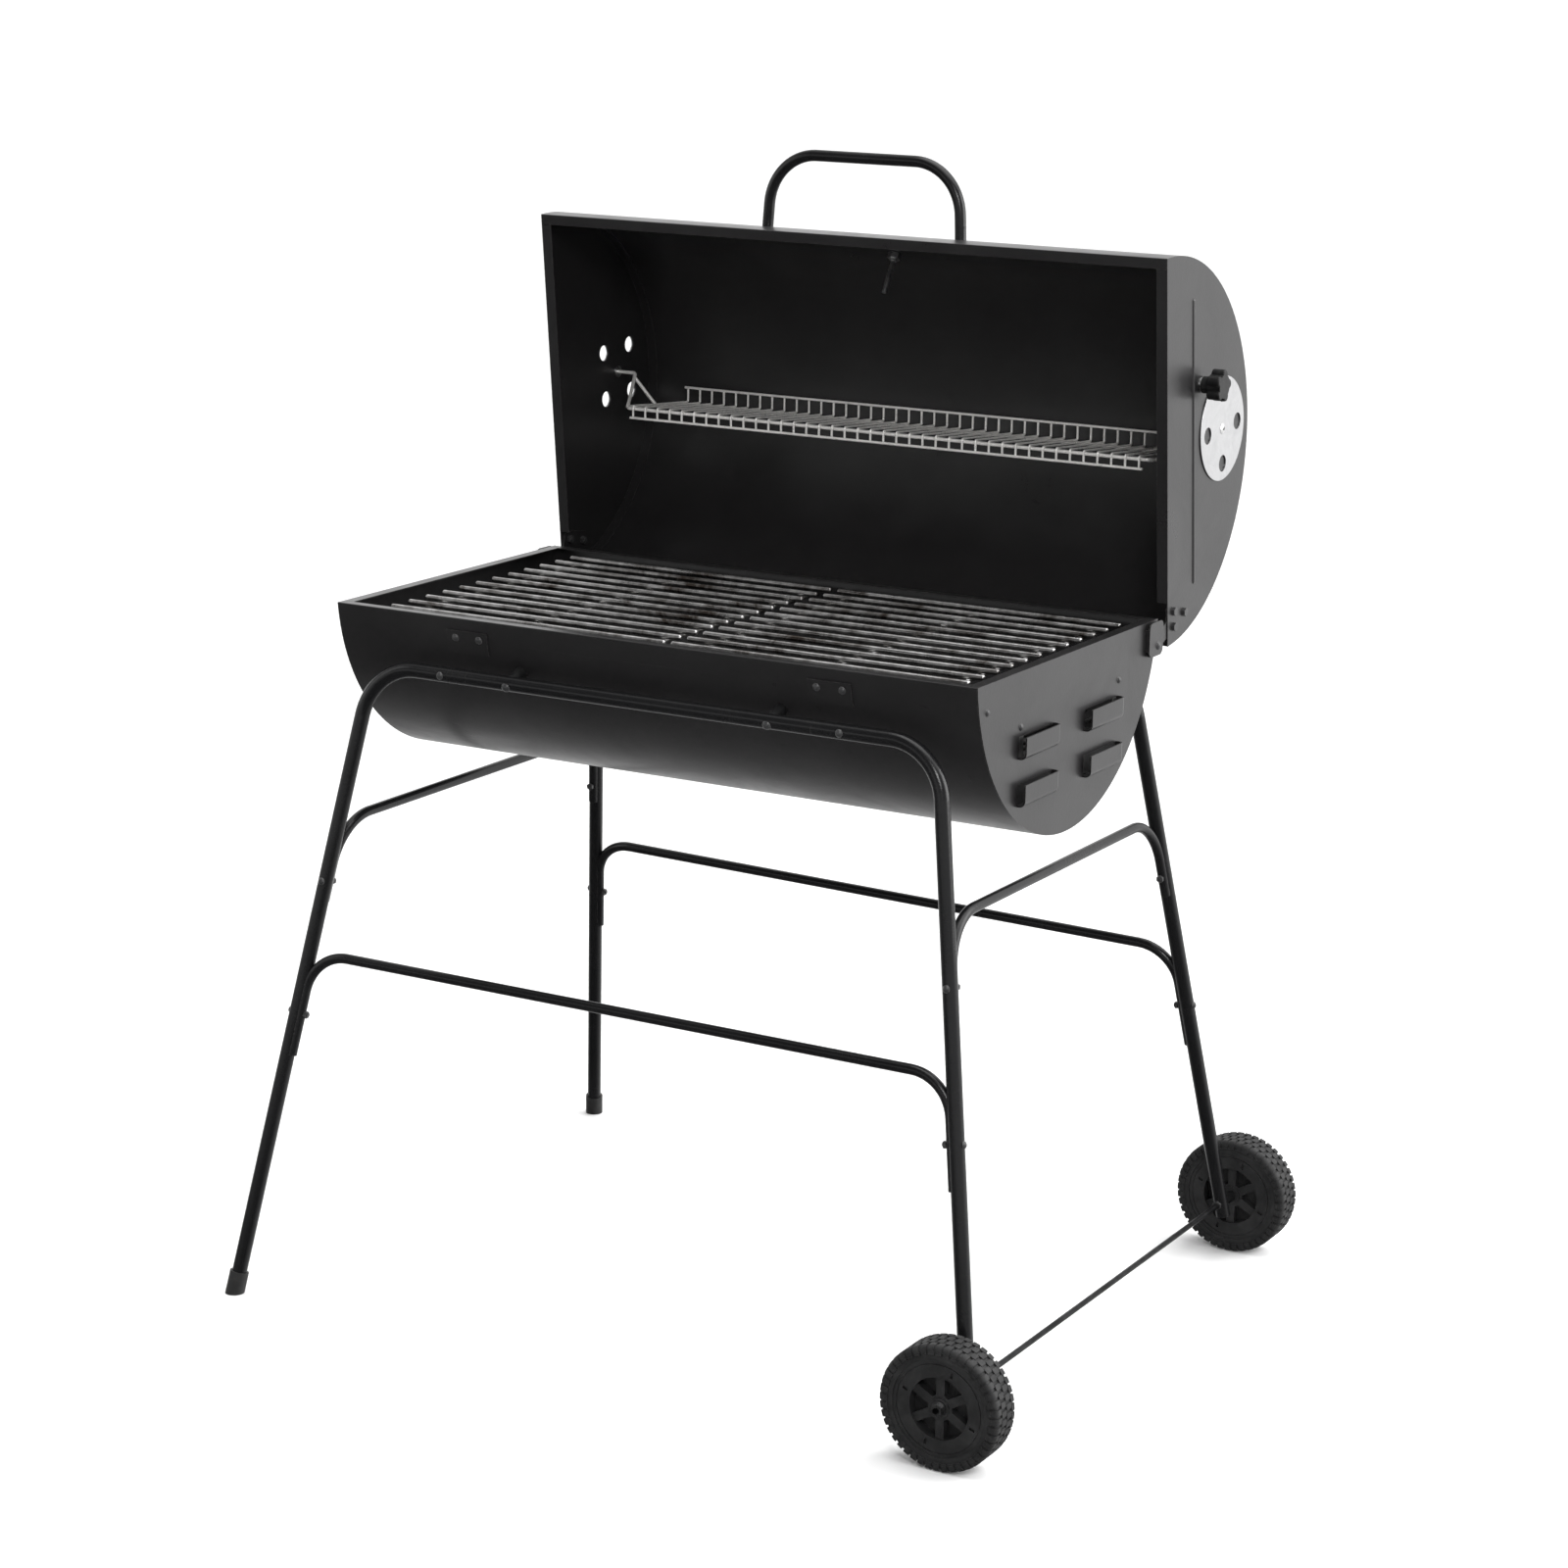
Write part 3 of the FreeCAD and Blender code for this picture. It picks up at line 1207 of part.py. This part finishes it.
def main():
    build_bowl()
    build_stand()
    build_wheels()
    build_lid()
    build_rack()
    shift = origin_shift()
    os.makedirs("parts", exist_ok=True)
    for name, shape in parts.items():
        placed = shape.translated(shift)
        placed.exportStep("parts/" + name + ".step")
    out = opened(group([Part.makeLine(V(0, 0, 0), lid_direction(THERMO_DEG) * 100)]))
    ends = out.Vertexes
    direction = (ends[1].Point - ends[0].Point).normalize()
    print("nodes", len(parts))
    print("shift", shift)
    print("hinge", V(0, HINGE_Y, HINGE_Z) + shift)
    print("vent and rack pivot", opened_point(V(0, 0, VENT_Z)) + shift)
    print("knob", opened_point(V(LID_END_X, KNOB_Y, KNOB_Z)) + shift)
    print("axle", V(axle_centre().x, 0, WHEEL_R) + shift)
    print("thermometer", opened_point(lid_skin_point(THERMO_DEG, BARREL_R)) + shift, "axis", direction)
    print("left feet", LEG_END["left"] + shift)


main()
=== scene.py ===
import json
import math

import bmesh
import bpy
from mathutils import Matrix, Vector


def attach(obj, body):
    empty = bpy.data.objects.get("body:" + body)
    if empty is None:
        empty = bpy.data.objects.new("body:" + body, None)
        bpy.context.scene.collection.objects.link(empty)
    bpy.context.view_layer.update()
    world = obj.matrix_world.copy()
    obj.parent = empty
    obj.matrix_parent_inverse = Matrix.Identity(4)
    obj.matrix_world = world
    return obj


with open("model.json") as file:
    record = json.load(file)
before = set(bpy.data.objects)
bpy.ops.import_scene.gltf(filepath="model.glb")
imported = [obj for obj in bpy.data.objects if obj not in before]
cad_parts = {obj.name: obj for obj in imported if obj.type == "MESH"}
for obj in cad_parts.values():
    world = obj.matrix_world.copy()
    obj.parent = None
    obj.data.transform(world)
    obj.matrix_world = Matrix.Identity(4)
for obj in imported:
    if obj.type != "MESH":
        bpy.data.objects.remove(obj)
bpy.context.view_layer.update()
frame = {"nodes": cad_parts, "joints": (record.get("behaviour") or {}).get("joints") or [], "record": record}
NODES = frame["nodes"]
SLOT_OF = {s["node"]: s["material_slot"] for s in frame["record"]["subparts"]}
JOINTS = {j["name"]: j for j in frame["joints"]}

# Lengths in metres, angles in degrees.
SIDEWALL_INNER = 0.0545         # moulded rings on the tyre's sidewall
SIDEWALL_OUTER = 0.0600
SIDEWALL_FADE = 0.0005
SIDEWALL_RING_PITCH = 0.0024

DIAL_FACE_RISE = 0.0033         # from the needle joint's point to the printed face
DIAL_START = 225.0              # lowest reading, anticlockwise from the dial's right
DIAL_SWEEP = 270.0
DIAL_TICKS = 41
TICKS_PER_LONG_TICK = 5
TICK_OUTER = 0.0184
LONG_TICK_INNER, LONG_TICK_HALF_WIDTH = 0.0150, 0.00032
SHORT_TICK_INNER, SHORT_TICK_HALF_WIDTH = 0.0166, 0.00018
TICK_THICKNESS = 0.00008
DIAL_NUMBERS = 5
DIAL_NUMBER_STEP = 100
NUMBER_RADIUS = 0.0118
NUMBER_HEIGHT = 0.0042
NUMBER_THICKNESS = 0.00003
NUMBER_LIFT = 0.00005

FLOOR_HALF_SIZE = 90.0
CAMERA_PLACE = (1.9138, -3.2795, 1.4854)
CAMERA_YAW, CAMERA_PITCH, CAMERA_ROLL = 28.98, 15.64, 1.02
CAMERA_LENS_MM = 84.45
CAMERA_SENSOR_MM = 36.0
CAMERA_SHIFT = (-0.0494, 0.0734)


# ================= material helpers =================

MATERIALS = {}      # every material made below, by name


class Mat:
    """A node material built around one Principled shader, with textures in object space (metres)."""

    def __init__(self, name):
        self.mat = MATERIALS[name] = bpy.data.materials.new(name)
        self.mat.use_nodes = True
        self.tree = self.mat.node_tree
        self.bsdf = self.tree.nodes["Principled BSDF"]
        self.coord = self.new("ShaderNodeTexCoord").outputs["Object"]

    def new(self, kind, **values):
        node = self.tree.nodes.new(kind)
        for key, value in values.items():
            setattr(node, key, value)
        return node

    def link(self, a, b):
        self.tree.links.new(a, b)

    def set(self, **values):
        for key, value in values.items():
            self.bsdf.inputs[key.replace("_", " ")].default_value = value

    def mapped(self, scale=(1, 1, 1), location=(0, 0, 0)):
        node = self.new("ShaderNodeMapping")
        node.inputs["Scale"].default_value = scale
        node.inputs["Location"].default_value = location
        self.link(self.coord, node.inputs["Vector"])
        return node.outputs["Vector"]

    def noise(self, scale, detail=4.0, rough=0.55, vector=None, distortion=0.0):
        node = self.new("ShaderNodeTexNoise")
        node.inputs["Scale"].default_value = scale
        node.inputs["Detail"].default_value = detail
        node.inputs["Roughness"].default_value = rough
        node.inputs["Distortion"].default_value = distortion
        self.link(vector or self.coord, node.inputs["Vector"])
        return node.outputs["Fac"]

    def voronoi(self, scale):
        node = self.new("ShaderNodeTexVoronoi", feature="F1")
        node.inputs["Scale"].default_value = scale
        self.link(self.coord, node.inputs["Vector"])
        return node.outputs["Distance"]

    def spread(self, value, low, high, out_low=0.0, out_high=1.0):
        node = self.new("ShaderNodeMapRange")
        node.inputs["From Min"].default_value = low
        node.inputs["From Max"].default_value = high
        node.inputs["To Min"].default_value = out_low
        node.inputs["To Max"].default_value = out_high
        self.link(value, node.inputs["Value"])
        return node.outputs["Result"]

    def math(self, operation, a, b):
        node = self.new("ShaderNodeMath", operation=operation)
        for socket, value in zip(node.inputs, (a, b)):
            if isinstance(value, (int, float)):
                socket.default_value = value
            else:
                self.link(value, socket)
        return node.outputs["Value"]

    def mix(self, fac, a, b):
        node = self.new("ShaderNodeMix", data_type="RGBA")
        self.link(fac, node.inputs["Factor"])
        for socket, value in ((node.inputs["A"], a), (node.inputs["B"], b)):
            if isinstance(value, tuple):
                socket.default_value = (*value, 1.0)
            else:
                self.link(value, socket)
        return node.outputs["Result"]

    def color(self, source):
        self.link(source, self.bsdf.inputs["Base Color"])

    def roughness(self, source):
        self.link(source, self.bsdf.inputs["Roughness"])

    def bump(self, *layers):
        """Stacks (height, depth in metres, strength) layers."""
        normal = None
        for height, depth, strength in layers:
            node = self.new("ShaderNodeBump")
            node.inputs["Distance"].default_value = depth
            node.inputs["Strength"].default_value = strength
            self.link(height, node.inputs["Height"])
            if normal is not None:
                self.link(normal, node.inputs["Normal"])
            normal = node.outputs["Normal"]
        self.link(normal, self.bsdf.inputs["Normal"])

    def edge_mask(self, radius, low=0.02, high=0.25):
        """1 on sharp edges, 0 on flat faces, from a bevelled normal against the true one."""
        bevel = self.new("ShaderNodeBevel", samples=4)
        bevel.inputs["Radius"].default_value = radius
        geometry = self.new("ShaderNodeNewGeometry")
        dot = self.new("ShaderNodeVectorMath", operation="DOT_PRODUCT")
        self.link(bevel.outputs["Normal"], dot.inputs[0])
        self.link(geometry.outputs["Normal"], dot.inputs[1])
        off = self.math("SUBTRACT", 1.0, dot.outputs["Value"])
        return self.spread(off, low, high)

    def radius_from(self, centre, axis):
        """Distance in metres from a line through centre along X or Y."""
        moved = self.mapped(location=tuple(-c for c in centre))
        parts = self.new("ShaderNodeSeparateXYZ")
        self.link(moved, parts.inputs["Vector"])
        across = "Y" if axis == "X" else "X"
        a = self.math("MULTIPLY", parts.outputs[across], parts.outputs[across])
        b = self.math("MULTIPLY", parts.outputs["Z"], parts.outputs["Z"])
        return self.math("SQRT", self.math("ADD", a, b), 0.0)


def satin_paint(name, dark, light, rough_low, rough_high, peel, edge_wear_and_highlight, ior=1.5):
    """Black paint on steel: faint colour drift, smudged sheen, orange peel, and lighter edges that are partly
    rubbed wear and partly a painted highlight.
    """
    m = Mat(name)
    drift = m.spread(m.noise(5.0, 5.0, 0.6), 0.3, 0.7)
    colour = m.mix(drift, dark, light)
    # Lighter grey along sharp edges, broken up by noise: partly rubbed wear, partly a painted highlight where
    # edges catch the light.
    edge = m.edge_mask(0.0007)
    edge_breakup = m.spread(m.noise(420.0, 3.0, 0.6), 0.42, 0.62)
    rubbed_and_highlight = m.math("MULTIPLY", m.math("MULTIPLY", edge, edge_breakup), edge_wear_and_highlight)
    m.color(m.mix(rubbed_and_highlight, colour, (0.16, 0.155, 0.15)))
    smudge = m.noise(11.0, 6.0, 0.65, distortion=0.8)
    grain = m.noise(1500.0, 2.0, 0.5)
    sheen = m.math("ADD", m.math("MULTIPLY", smudge, 0.8), m.math("MULTIPLY", grain, 0.2))
    m.roughness(m.spread(sheen, 0.33, 0.67, rough_low, rough_high))
    m.set(IOR=ior)
    m.bump((m.noise(330.0, 2.0, 0.45), 0.0004, peel), (m.noise(2400.0, 1.0, 0.5), 0.0001, peel * 0.6),
           (m.noise(7.0, 1.0, 0.4), 0.004, 0.05))


def dull_metal(name, dark, light, rough_low, rough_high, scale=90.0, stain=None, metallic=1.0):
    """Plated or bare steel with tarnish drift, fine scratches and a little pitting."""
    m = Mat(name)
    m.set(Metallic=metallic)
    colour = m.mix(m.spread(m.noise(scale, 5.0, 0.6), 0.35, 0.65), dark, light)
    if stain is not None:
        soot = m.spread(m.noise(16.0, 6.0, 0.7, distortion=0.6), 0.48, 0.66)
        colour = m.mix(soot, colour, stain)
    m.color(colour)
    scratches = m.noise(900.0, 3.0, 0.6, vector=m.mapped(scale=(0.05, 1.0, 1.0)))
    sheen = m.math("ADD", m.math("MULTIPLY", scratches, 0.5), m.math("MULTIPLY", m.noise(45.0), 0.5))
    m.roughness(m.spread(sheen, 0.3, 0.7, rough_low, rough_high))
    m.bump((scratches, 0.00008, 0.25), (m.noise(1200.0, 2.0, 0.5), 0.00005, 0.3))


def moulded(name, dark, light, rough_low, rough_high, texture, ior=1.5):
    """Moulded black plastic or rubber: fine spark grain, soft scuffs and grey dust."""
    m = Mat(name)
    m.set(IOR=ior)
    base = m.mix(m.spread(m.noise(30.0, 4.0, 0.6), 0.35, 0.65), dark, light)
    dust = m.math("MULTIPLY", m.spread(m.noise(140.0, 6.0, 0.7), 0.5, 0.75), 0.25)
    scuffs = m.math("MULTIPLY", m.edge_mask(0.0008), m.spread(m.noise(260.0), 0.4, 0.65))
    dusty = m.mix(dust, base, (0.06, 0.058, 0.055))
    m.color(m.mix(m.math("MULTIPLY", scuffs, 0.35), dusty, (0.10, 0.10, 0.10)))
    m.roughness(m.spread(m.noise(60.0, 5.0, 0.6), 0.3, 0.7, rough_low, rough_high))
    m.bump((m.voronoi(2200.0), 0.00008, texture),
           (m.noise(600.0, 2.0, 0.5), 0.00012, texture * 0.7))


def turned_disc(name, centre):
    """Pale satin sheet with fine rings turned about its centre and light finger marks."""
    m = Mat(name)
    m.set(Metallic=1.0)
    radius = m.radius_from(centre, "X")
    ring_noise = m.new("ShaderNodeTexNoise", noise_dimensions="1D")
    ring_noise.inputs["Scale"].default_value = 2600.0
    ring_noise.inputs["Detail"].default_value = 3.0
    m.link(radius, ring_noise.inputs["W"])
    rings = ring_noise.outputs["Fac"]
    marks = m.spread(m.noise(38.0, 6.0, 0.65, distortion=0.7), 0.35, 0.7)
    m.color(m.mix(marks, (0.50, 0.50, 0.505), (0.41, 0.41, 0.415)))
    sheen = m.math("ADD", m.math("MULTIPLY", rings, 0.6), m.math("MULTIPLY", marks, 0.4))
    m.roughness(m.spread(sheen, 0.2, 0.8, 0.34, 0.52))
    m.bump((rings, 0.00006, 0.35), (m.noise(700.0, 2.0, 0.5), 0.00004, 0.2))


def tyre_rubber(name, centre):
    """Matt tread rubber with moulded rings on the sidewall and dust in the hollows."""
    m = Mat(name)
    radius = m.radius_from(centre, "Y")
    wave = m.math("SINE", m.math("MULTIPLY", radius, 2 * math.pi / SIDEWALL_RING_PITCH), 0.0)
    side = m.math("MULTIPLY", m.spread(radius, SIDEWALL_INNER, SIDEWALL_INNER + SIDEWALL_FADE),
                  m.spread(radius, SIDEWALL_OUTER, SIDEWALL_OUTER - SIDEWALL_FADE))
    rings = m.math("MULTIPLY", m.spread(wave, -0.2, 0.6), side)
    drift = m.spread(m.noise(24.0, 5.0, 0.6), 0.35, 0.65)
    base = m.mix(drift, (0.007, 0.007, 0.0075), (0.013, 0.013, 0.0135))
    dust = m.math("MULTIPLY", m.spread(m.noise(95.0, 7.0, 0.7), 0.46, 0.72), 0.25)
    m.color(m.mix(dust, base, (0.05, 0.049, 0.047)))
    m.roughness(m.spread(m.noise(70.0, 5.0, 0.6), 0.3, 0.7, 0.62, 0.86))
    m.bump((rings, 0.0005, 0.7), (m.noise(900.0, 3.0, 0.6), 0.0002, 0.4),
           (m.voronoi(3000.0), 0.00006, 0.3))


def plain_dial(name):
    """Slightly yellowed printed dial card."""
    m = Mat(name)
    aged = m.spread(m.noise(60.0, 5.0, 0.6), 0.4, 0.7)
    m.color(m.mix(aged, (0.86, 0.855, 0.83), (0.78, 0.77, 0.73)))
    m.roughness(m.spread(m.noise(200.0), 0.3, 0.7, 0.35, 0.5))
    m.bump((m.noise(900.0, 2.0, 0.5), 0.00003, 0.2))


def clear_lens(name):
    """Clear cover with faint smears."""
    m = Mat(name)
    m.set(Transmission_Weight=1.0, IOR=1.5)
    m.color(m.mix(m.spread(m.noise(80.0), 0.4, 0.6), (0.97, 0.98, 0.98), (0.94, 0.95, 0.95)))
    m.roughness(m.spread(m.noise(120.0, 6.0, 0.7), 0.4, 0.8, 0.02, 0.09))
    m.bump((m.noise(30.0, 1.0, 0.4), 0.00005, 0.1))


def needle_enamel(name, colour_a, colour_b):
    """Even enamel or ink with a fine grain."""
    m = Mat(name)
    m.color(m.mix(m.spread(m.noise(300.0), 0.4, 0.6), colour_a, colour_b))
    m.roughness(m.spread(m.noise(700.0), 0.3, 0.7, 0.3, 0.45))
    m.bump((m.noise(1500.0, 2.0, 0.5), 0.00003, 0.3))


def pos(joint):
    """A point on the joint's axis, in metres."""
    return tuple(JOINTS[joint]["pos_m"])


def make_materials():
    """The object's materials. Most are named after the slot they fill."""
    # In each satin_paint call the number before ior sets the lighter edges, which are partly wear and partly
    # a painted highlight.
    satin_paint("barrel_paint", (0.009, 0.0085, 0.009), (0.014, 0.0135, 0.014), 0.27, 0.40, 0.16, 0.5)
    satin_paint("tube_paint", (0.005, 0.005, 0.0055), (0.009, 0.009, 0.0095), 0.17, 0.30, 0.22, 0.35,
                ior=1.36)
    satin_paint("black_screws", (0.016, 0.016, 0.017), (0.03, 0.03, 0.031), 0.28, 0.45, 0.2, 0.9)
    dull_metal("zinc_steel", (0.50, 0.51, 0.52), (0.66, 0.66, 0.65), 0.22, 0.40, scale=220.0)
    satin_paint("grate_enamel", (0.012, 0.012, 0.012), (0.03, 0.029, 0.028), 0.45, 0.7, 0.4, 0.6)
    dull_metal("cooking_steel", (0.30, 0.295, 0.29), (0.55, 0.545, 0.54), 0.22, 0.40, scale=70.0,
               stain=(0.07, 0.058, 0.05))
    dull_metal("rack_chrome", (0.80, 0.785, 0.76), (0.92, 0.905, 0.88), 0.24, 0.38, scale=160.0,
               metallic=0.45)
    turned_disc("vent_metal_left", pos("vent_disc_left_turn"))
    turned_disc("vent_metal_right", pos("vent_disc_right_turn"))
    moulded("black_plastic", (0.004, 0.004, 0.0042), (0.008, 0.008, 0.0085), 0.38, 0.55, 0.18, ior=1.33)
    moulded("foot_rubber", (0.012, 0.012, 0.012), (0.02, 0.02, 0.02), 0.5, 0.7, 0.4)
    dull_metal("axle_hardware", (0.14, 0.14, 0.145), (0.30, 0.30, 0.30), 0.28, 0.45, scale=220.0)
    dull_metal("axle_steel", (0.009, 0.009, 0.0095), (0.024, 0.024, 0.025), 0.35, 0.55, scale=120.0,
               stain=(0.006, 0.006, 0.006))
    moulded("wheel_plastic", (0.011, 0.011, 0.0115), (0.019, 0.019, 0.0195), 0.36, 0.54, 0.35)
    tyre_rubber("tyre_front", pos("wheel_front_spin"))
    tyre_rubber("tyre_rear", pos("wheel_rear_spin"))
    dull_metal("thermometer_steel", (0.55, 0.55, 0.56), (0.68, 0.68, 0.69), 0.2, 0.34, scale=300.0)
    plain_dial("dial_white")
    clear_lens("dial_glass")
    needle_enamel("needle_red", (0.55, 0.03, 0.02), (0.45, 0.022, 0.016))
    needle_enamel("dial_print", (0.02, 0.02, 0.02), (0.03, 0.03, 0.03))


make_materials()

# Nodes whose material is not simply their slot's.
SPECIAL = {
    "vent_disc_left": "vent_metal_left",
    "vent_disc_right": "vent_metal_right",
    "wheel_tyre_front": "tyre_front",
    "wheel_tyre_rear": "tyre_rear",
}

for node_name, obj in NODES.items():
    key = SPECIAL.get(node_name, SLOT_OF[node_name])
    obj.data.materials.clear()
    obj.data.materials.append(MATERIALS[key])


# ================= small visual pieces =================

def new_piece(name, bm, material, body):
    """Turns bm into an object that moves with body."""
    mesh = bpy.data.meshes.new(name)
    bm.to_mesh(mesh)
    bm.free()
    mesh.materials.append(MATERIALS[material])
    obj = bpy.data.objects.new(name, mesh)
    bpy.context.scene.collection.objects.link(obj)
    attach(obj, body)


def dial_frame():
    """Centre of the dial's face and its right, up and outward directions."""
    joint = JOINTS["thermometer_needle_turn"]
    out = -Vector(joint["axis"]).normalized()
    right = Vector((1, 0, 0))
    up = out.cross(right).normalized()
    return Vector(joint["pos_m"]) + out * DIAL_FACE_RISE, right, up, out


def dial_direction(share, right, up):
    """Direction from the dial's centre to a reading, where share is 0 at the lowest and 1 at the highest."""
    angle = math.radians(DIAL_START - share * DIAL_SWEEP)
    return right * math.cos(angle) + up * math.sin(angle)


def dial_marks():
    """Scale ticks printed on the dial."""
    centre, right, up, out = dial_frame()
    bm = bmesh.new()
    for i in range(DIAL_TICKS):
        radial = dial_direction(i / (DIAL_TICKS - 1), right, up)
        side = out.cross(radial)
        if i % TICKS_PER_LONG_TICK == 0:
            inner, half = LONG_TICK_INNER, LONG_TICK_HALF_WIDTH
        else:
            inner, half = SHORT_TICK_INNER, SHORT_TICK_HALF_WIDTH
        corners = []
        for lift in (0.0, TICK_THICKNESS):
            for r, s in ((inner, -half), (TICK_OUTER, -half), (TICK_OUTER, half), (inner, half)):
                corners.append(bm.verts.new(centre + radial * r + side * s + out * lift))
        bm.faces.new(corners[4:8])
        for a in range(4):
            b = (a + 1) % 4
            bm.faces.new((corners[a], corners[b], corners[4 + b], corners[4 + a]))
    new_piece("dial_ticks", bm, "dial_print", "lid")


def dial_numbers():
    """Generic numbers on the dial."""
    centre, right, up, out = dial_frame()
    turn = Matrix((right, up, out)).transposed().to_4x4()
    for i in range(DIAL_NUMBERS):
        radial = dial_direction(i / (DIAL_NUMBERS - 1), right, up)
        spot = centre + radial * NUMBER_RADIUS + out * NUMBER_LIFT
        text = bpy.data.curves.new("dial_number_%d" % i, "FONT")
        text.body = str(i * DIAL_NUMBER_STEP)
        text.size = NUMBER_HEIGHT
        text.extrude = NUMBER_THICKNESS
        text.align_x = "CENTER"
        text.align_y = "CENTER"
        text.materials.append(MATERIALS["dial_print"])
        obj = bpy.data.objects.new("dial_number_%d" % i, text)
        obj.matrix_world = Matrix.Translation(spot) @ turn
        bpy.context.scene.collection.objects.link(obj)
        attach(obj, "lid")


dial_marks()
dial_numbers()


# ================= stage, light and camera =================

def floor():
    """Plain pale floor, hidden from reflections so that the black paint stays black."""
    bm = bmesh.new()
    bmesh.ops.create_grid(bm, x_segments=1, y_segments=1, size=FLOOR_HALF_SIZE)
    mesh = bpy.data.meshes.new("studio_floor")
    bm.to_mesh(mesh)
    bm.free()
    obj = bpy.data.objects.new("studio_floor", mesh)
    bpy.context.scene.collection.objects.link(obj)
    m = Mat("studio_floor")
    m.color(m.mix(m.noise(0.8), (0.93, 0.93, 0.93), (0.955, 0.955, 0.955)))
    m.roughness(m.spread(m.noise(6.0), 0.3, 0.7, 0.65, 0.8))
    m.set(IOR=1.25)
    mesh.materials.append(m.mat)
    obj.visible_glossy = False


def soft_world():
    """White studio behind the grill and along the horizon, and dim elsewhere so that the front stays dark."""
    world = bpy.data.worlds.new("studio")
    bpy.context.scene.world = world
    world.use_nodes = True
    tree = world.node_tree
    coord = tree.nodes.new("ShaderNodeTexCoord")
    split = tree.nodes.new("ShaderNodeSeparateXYZ")
    tree.links.new(coord.outputs["Generated"], split.inputs["Vector"])

    def ramp(axis, start, end, low, high):
        """Goes from low to high as the view direction's axis part goes from start to end."""
        node = tree.nodes.new("ShaderNodeMapRange")
        for socket, value in zip(("From Min", "From Max", "To Min", "To Max"), (start, end, low, high)):
            node.inputs[socket].default_value = value
        tree.links.new(split.outputs[axis], node.inputs["Value"])
        return node.outputs["Result"]

    def combine(operation, first, second):
        node = tree.nodes.new("ShaderNodeMath")
        node.operation = operation
        tree.links.new(first, node.inputs[0])
        tree.links.new(second, node.inputs[1])
        return node.outputs["Value"]

    behind = ramp("Y", -0.35, 0.50, 0.05, 1.3)
    floor_side = ramp("Z", -0.95, -0.35, 0.18, 1.0)
    above_floor = ramp("Z", -0.03, -0.01, 0.0, 0.95)
    low_sky = ramp("Z", 0.16, 0.32, 1.0, 0.0)
    horizon = combine("MULTIPLY", above_floor, low_sky)
    light = combine("MAXIMUM", combine("MULTIPLY", behind, floor_side), horizon)
    tree.links.new(light, tree.nodes["Background"].inputs["Color"])


def area(name, place, target, width, height, watts):
    """Rectangular lamp at place, facing target."""
    light = bpy.data.lights.new(name, "AREA")
    light.shape = "RECTANGLE"
    light.size = width
    light.size_y = height
    light.energy = watts
    obj = bpy.data.objects.new(name, light)
    obj.location = place
    aim = Vector(target) - Vector(place)
    obj.rotation_euler = aim.to_track_quat("-Z", "Y").to_euler()
    bpy.context.scene.collection.objects.link(obj)


def sun(name, direction, strength, angle):
    """Broad distant light shining along direction, angle degrees across."""
    light = bpy.data.lights.new(name, "SUN")
    light.energy = strength
    light.angle = math.radians(angle)
    obj = bpy.data.objects.new(name, light)
    obj.rotation_euler = Vector(direction).to_track_quat("-Z", "Y").to_euler()
    bpy.context.scene.collection.objects.link(obj)


def camera():
    """Long lens from the front right and above."""
    yaw, pitch, roll = (math.radians(a) for a in (CAMERA_YAW, CAMERA_PITCH, CAMERA_ROLL))
    ahead = Vector((-math.sin(yaw) * math.cos(pitch), math.cos(yaw) * math.cos(pitch), -math.sin(pitch)))
    level = Vector((math.cos(yaw), math.sin(yaw), 0))
    up = level.cross(ahead)
    side = level * math.cos(roll) + up * math.sin(roll)
    top = up * math.cos(roll) - level * math.sin(roll)
    data = bpy.data.cameras.new("camera")
    data.sensor_width = CAMERA_SENSOR_MM
    data.lens = CAMERA_LENS_MM
    data.shift_x, data.shift_y = CAMERA_SHIFT
    data.clip_start = 0.05
    data.clip_end = 200.0
    obj = bpy.data.objects.new("camera", data)
    turn = Matrix((side, top, -ahead)).transposed().to_4x4()
    obj.matrix_world = Matrix.Translation(Vector(CAMERA_PLACE)) @ turn
    bpy.context.scene.collection.objects.link(obj)
    bpy.context.scene.camera = obj


floor()
soft_world()
area("softbox_right", (3.2, 1.6, 1.9), (0.3, 0.0, 0.7), 2.6, 2.6, 110.0)
area("softbox_top", (0.3, -0.2, 3.4), (0.0, 0.0, 0.6), 2.4, 2.4, 30.0)
area("softbox_front", (2.1, -2.6, 2.6), (0.0, 0.2, 0.8), 0.9, 0.9, 50.0)
area("softbox_left", (-2.8, -1.6, 2.0), (0.0, 0.0, 0.6), 1.2, 2.0, 12.0)
sun("sky_sun", (-0.25, -0.2, -1.0), 1.9, 70.0)
camera()
bpy.context.scene.view_settings.view_transform = "Standard"
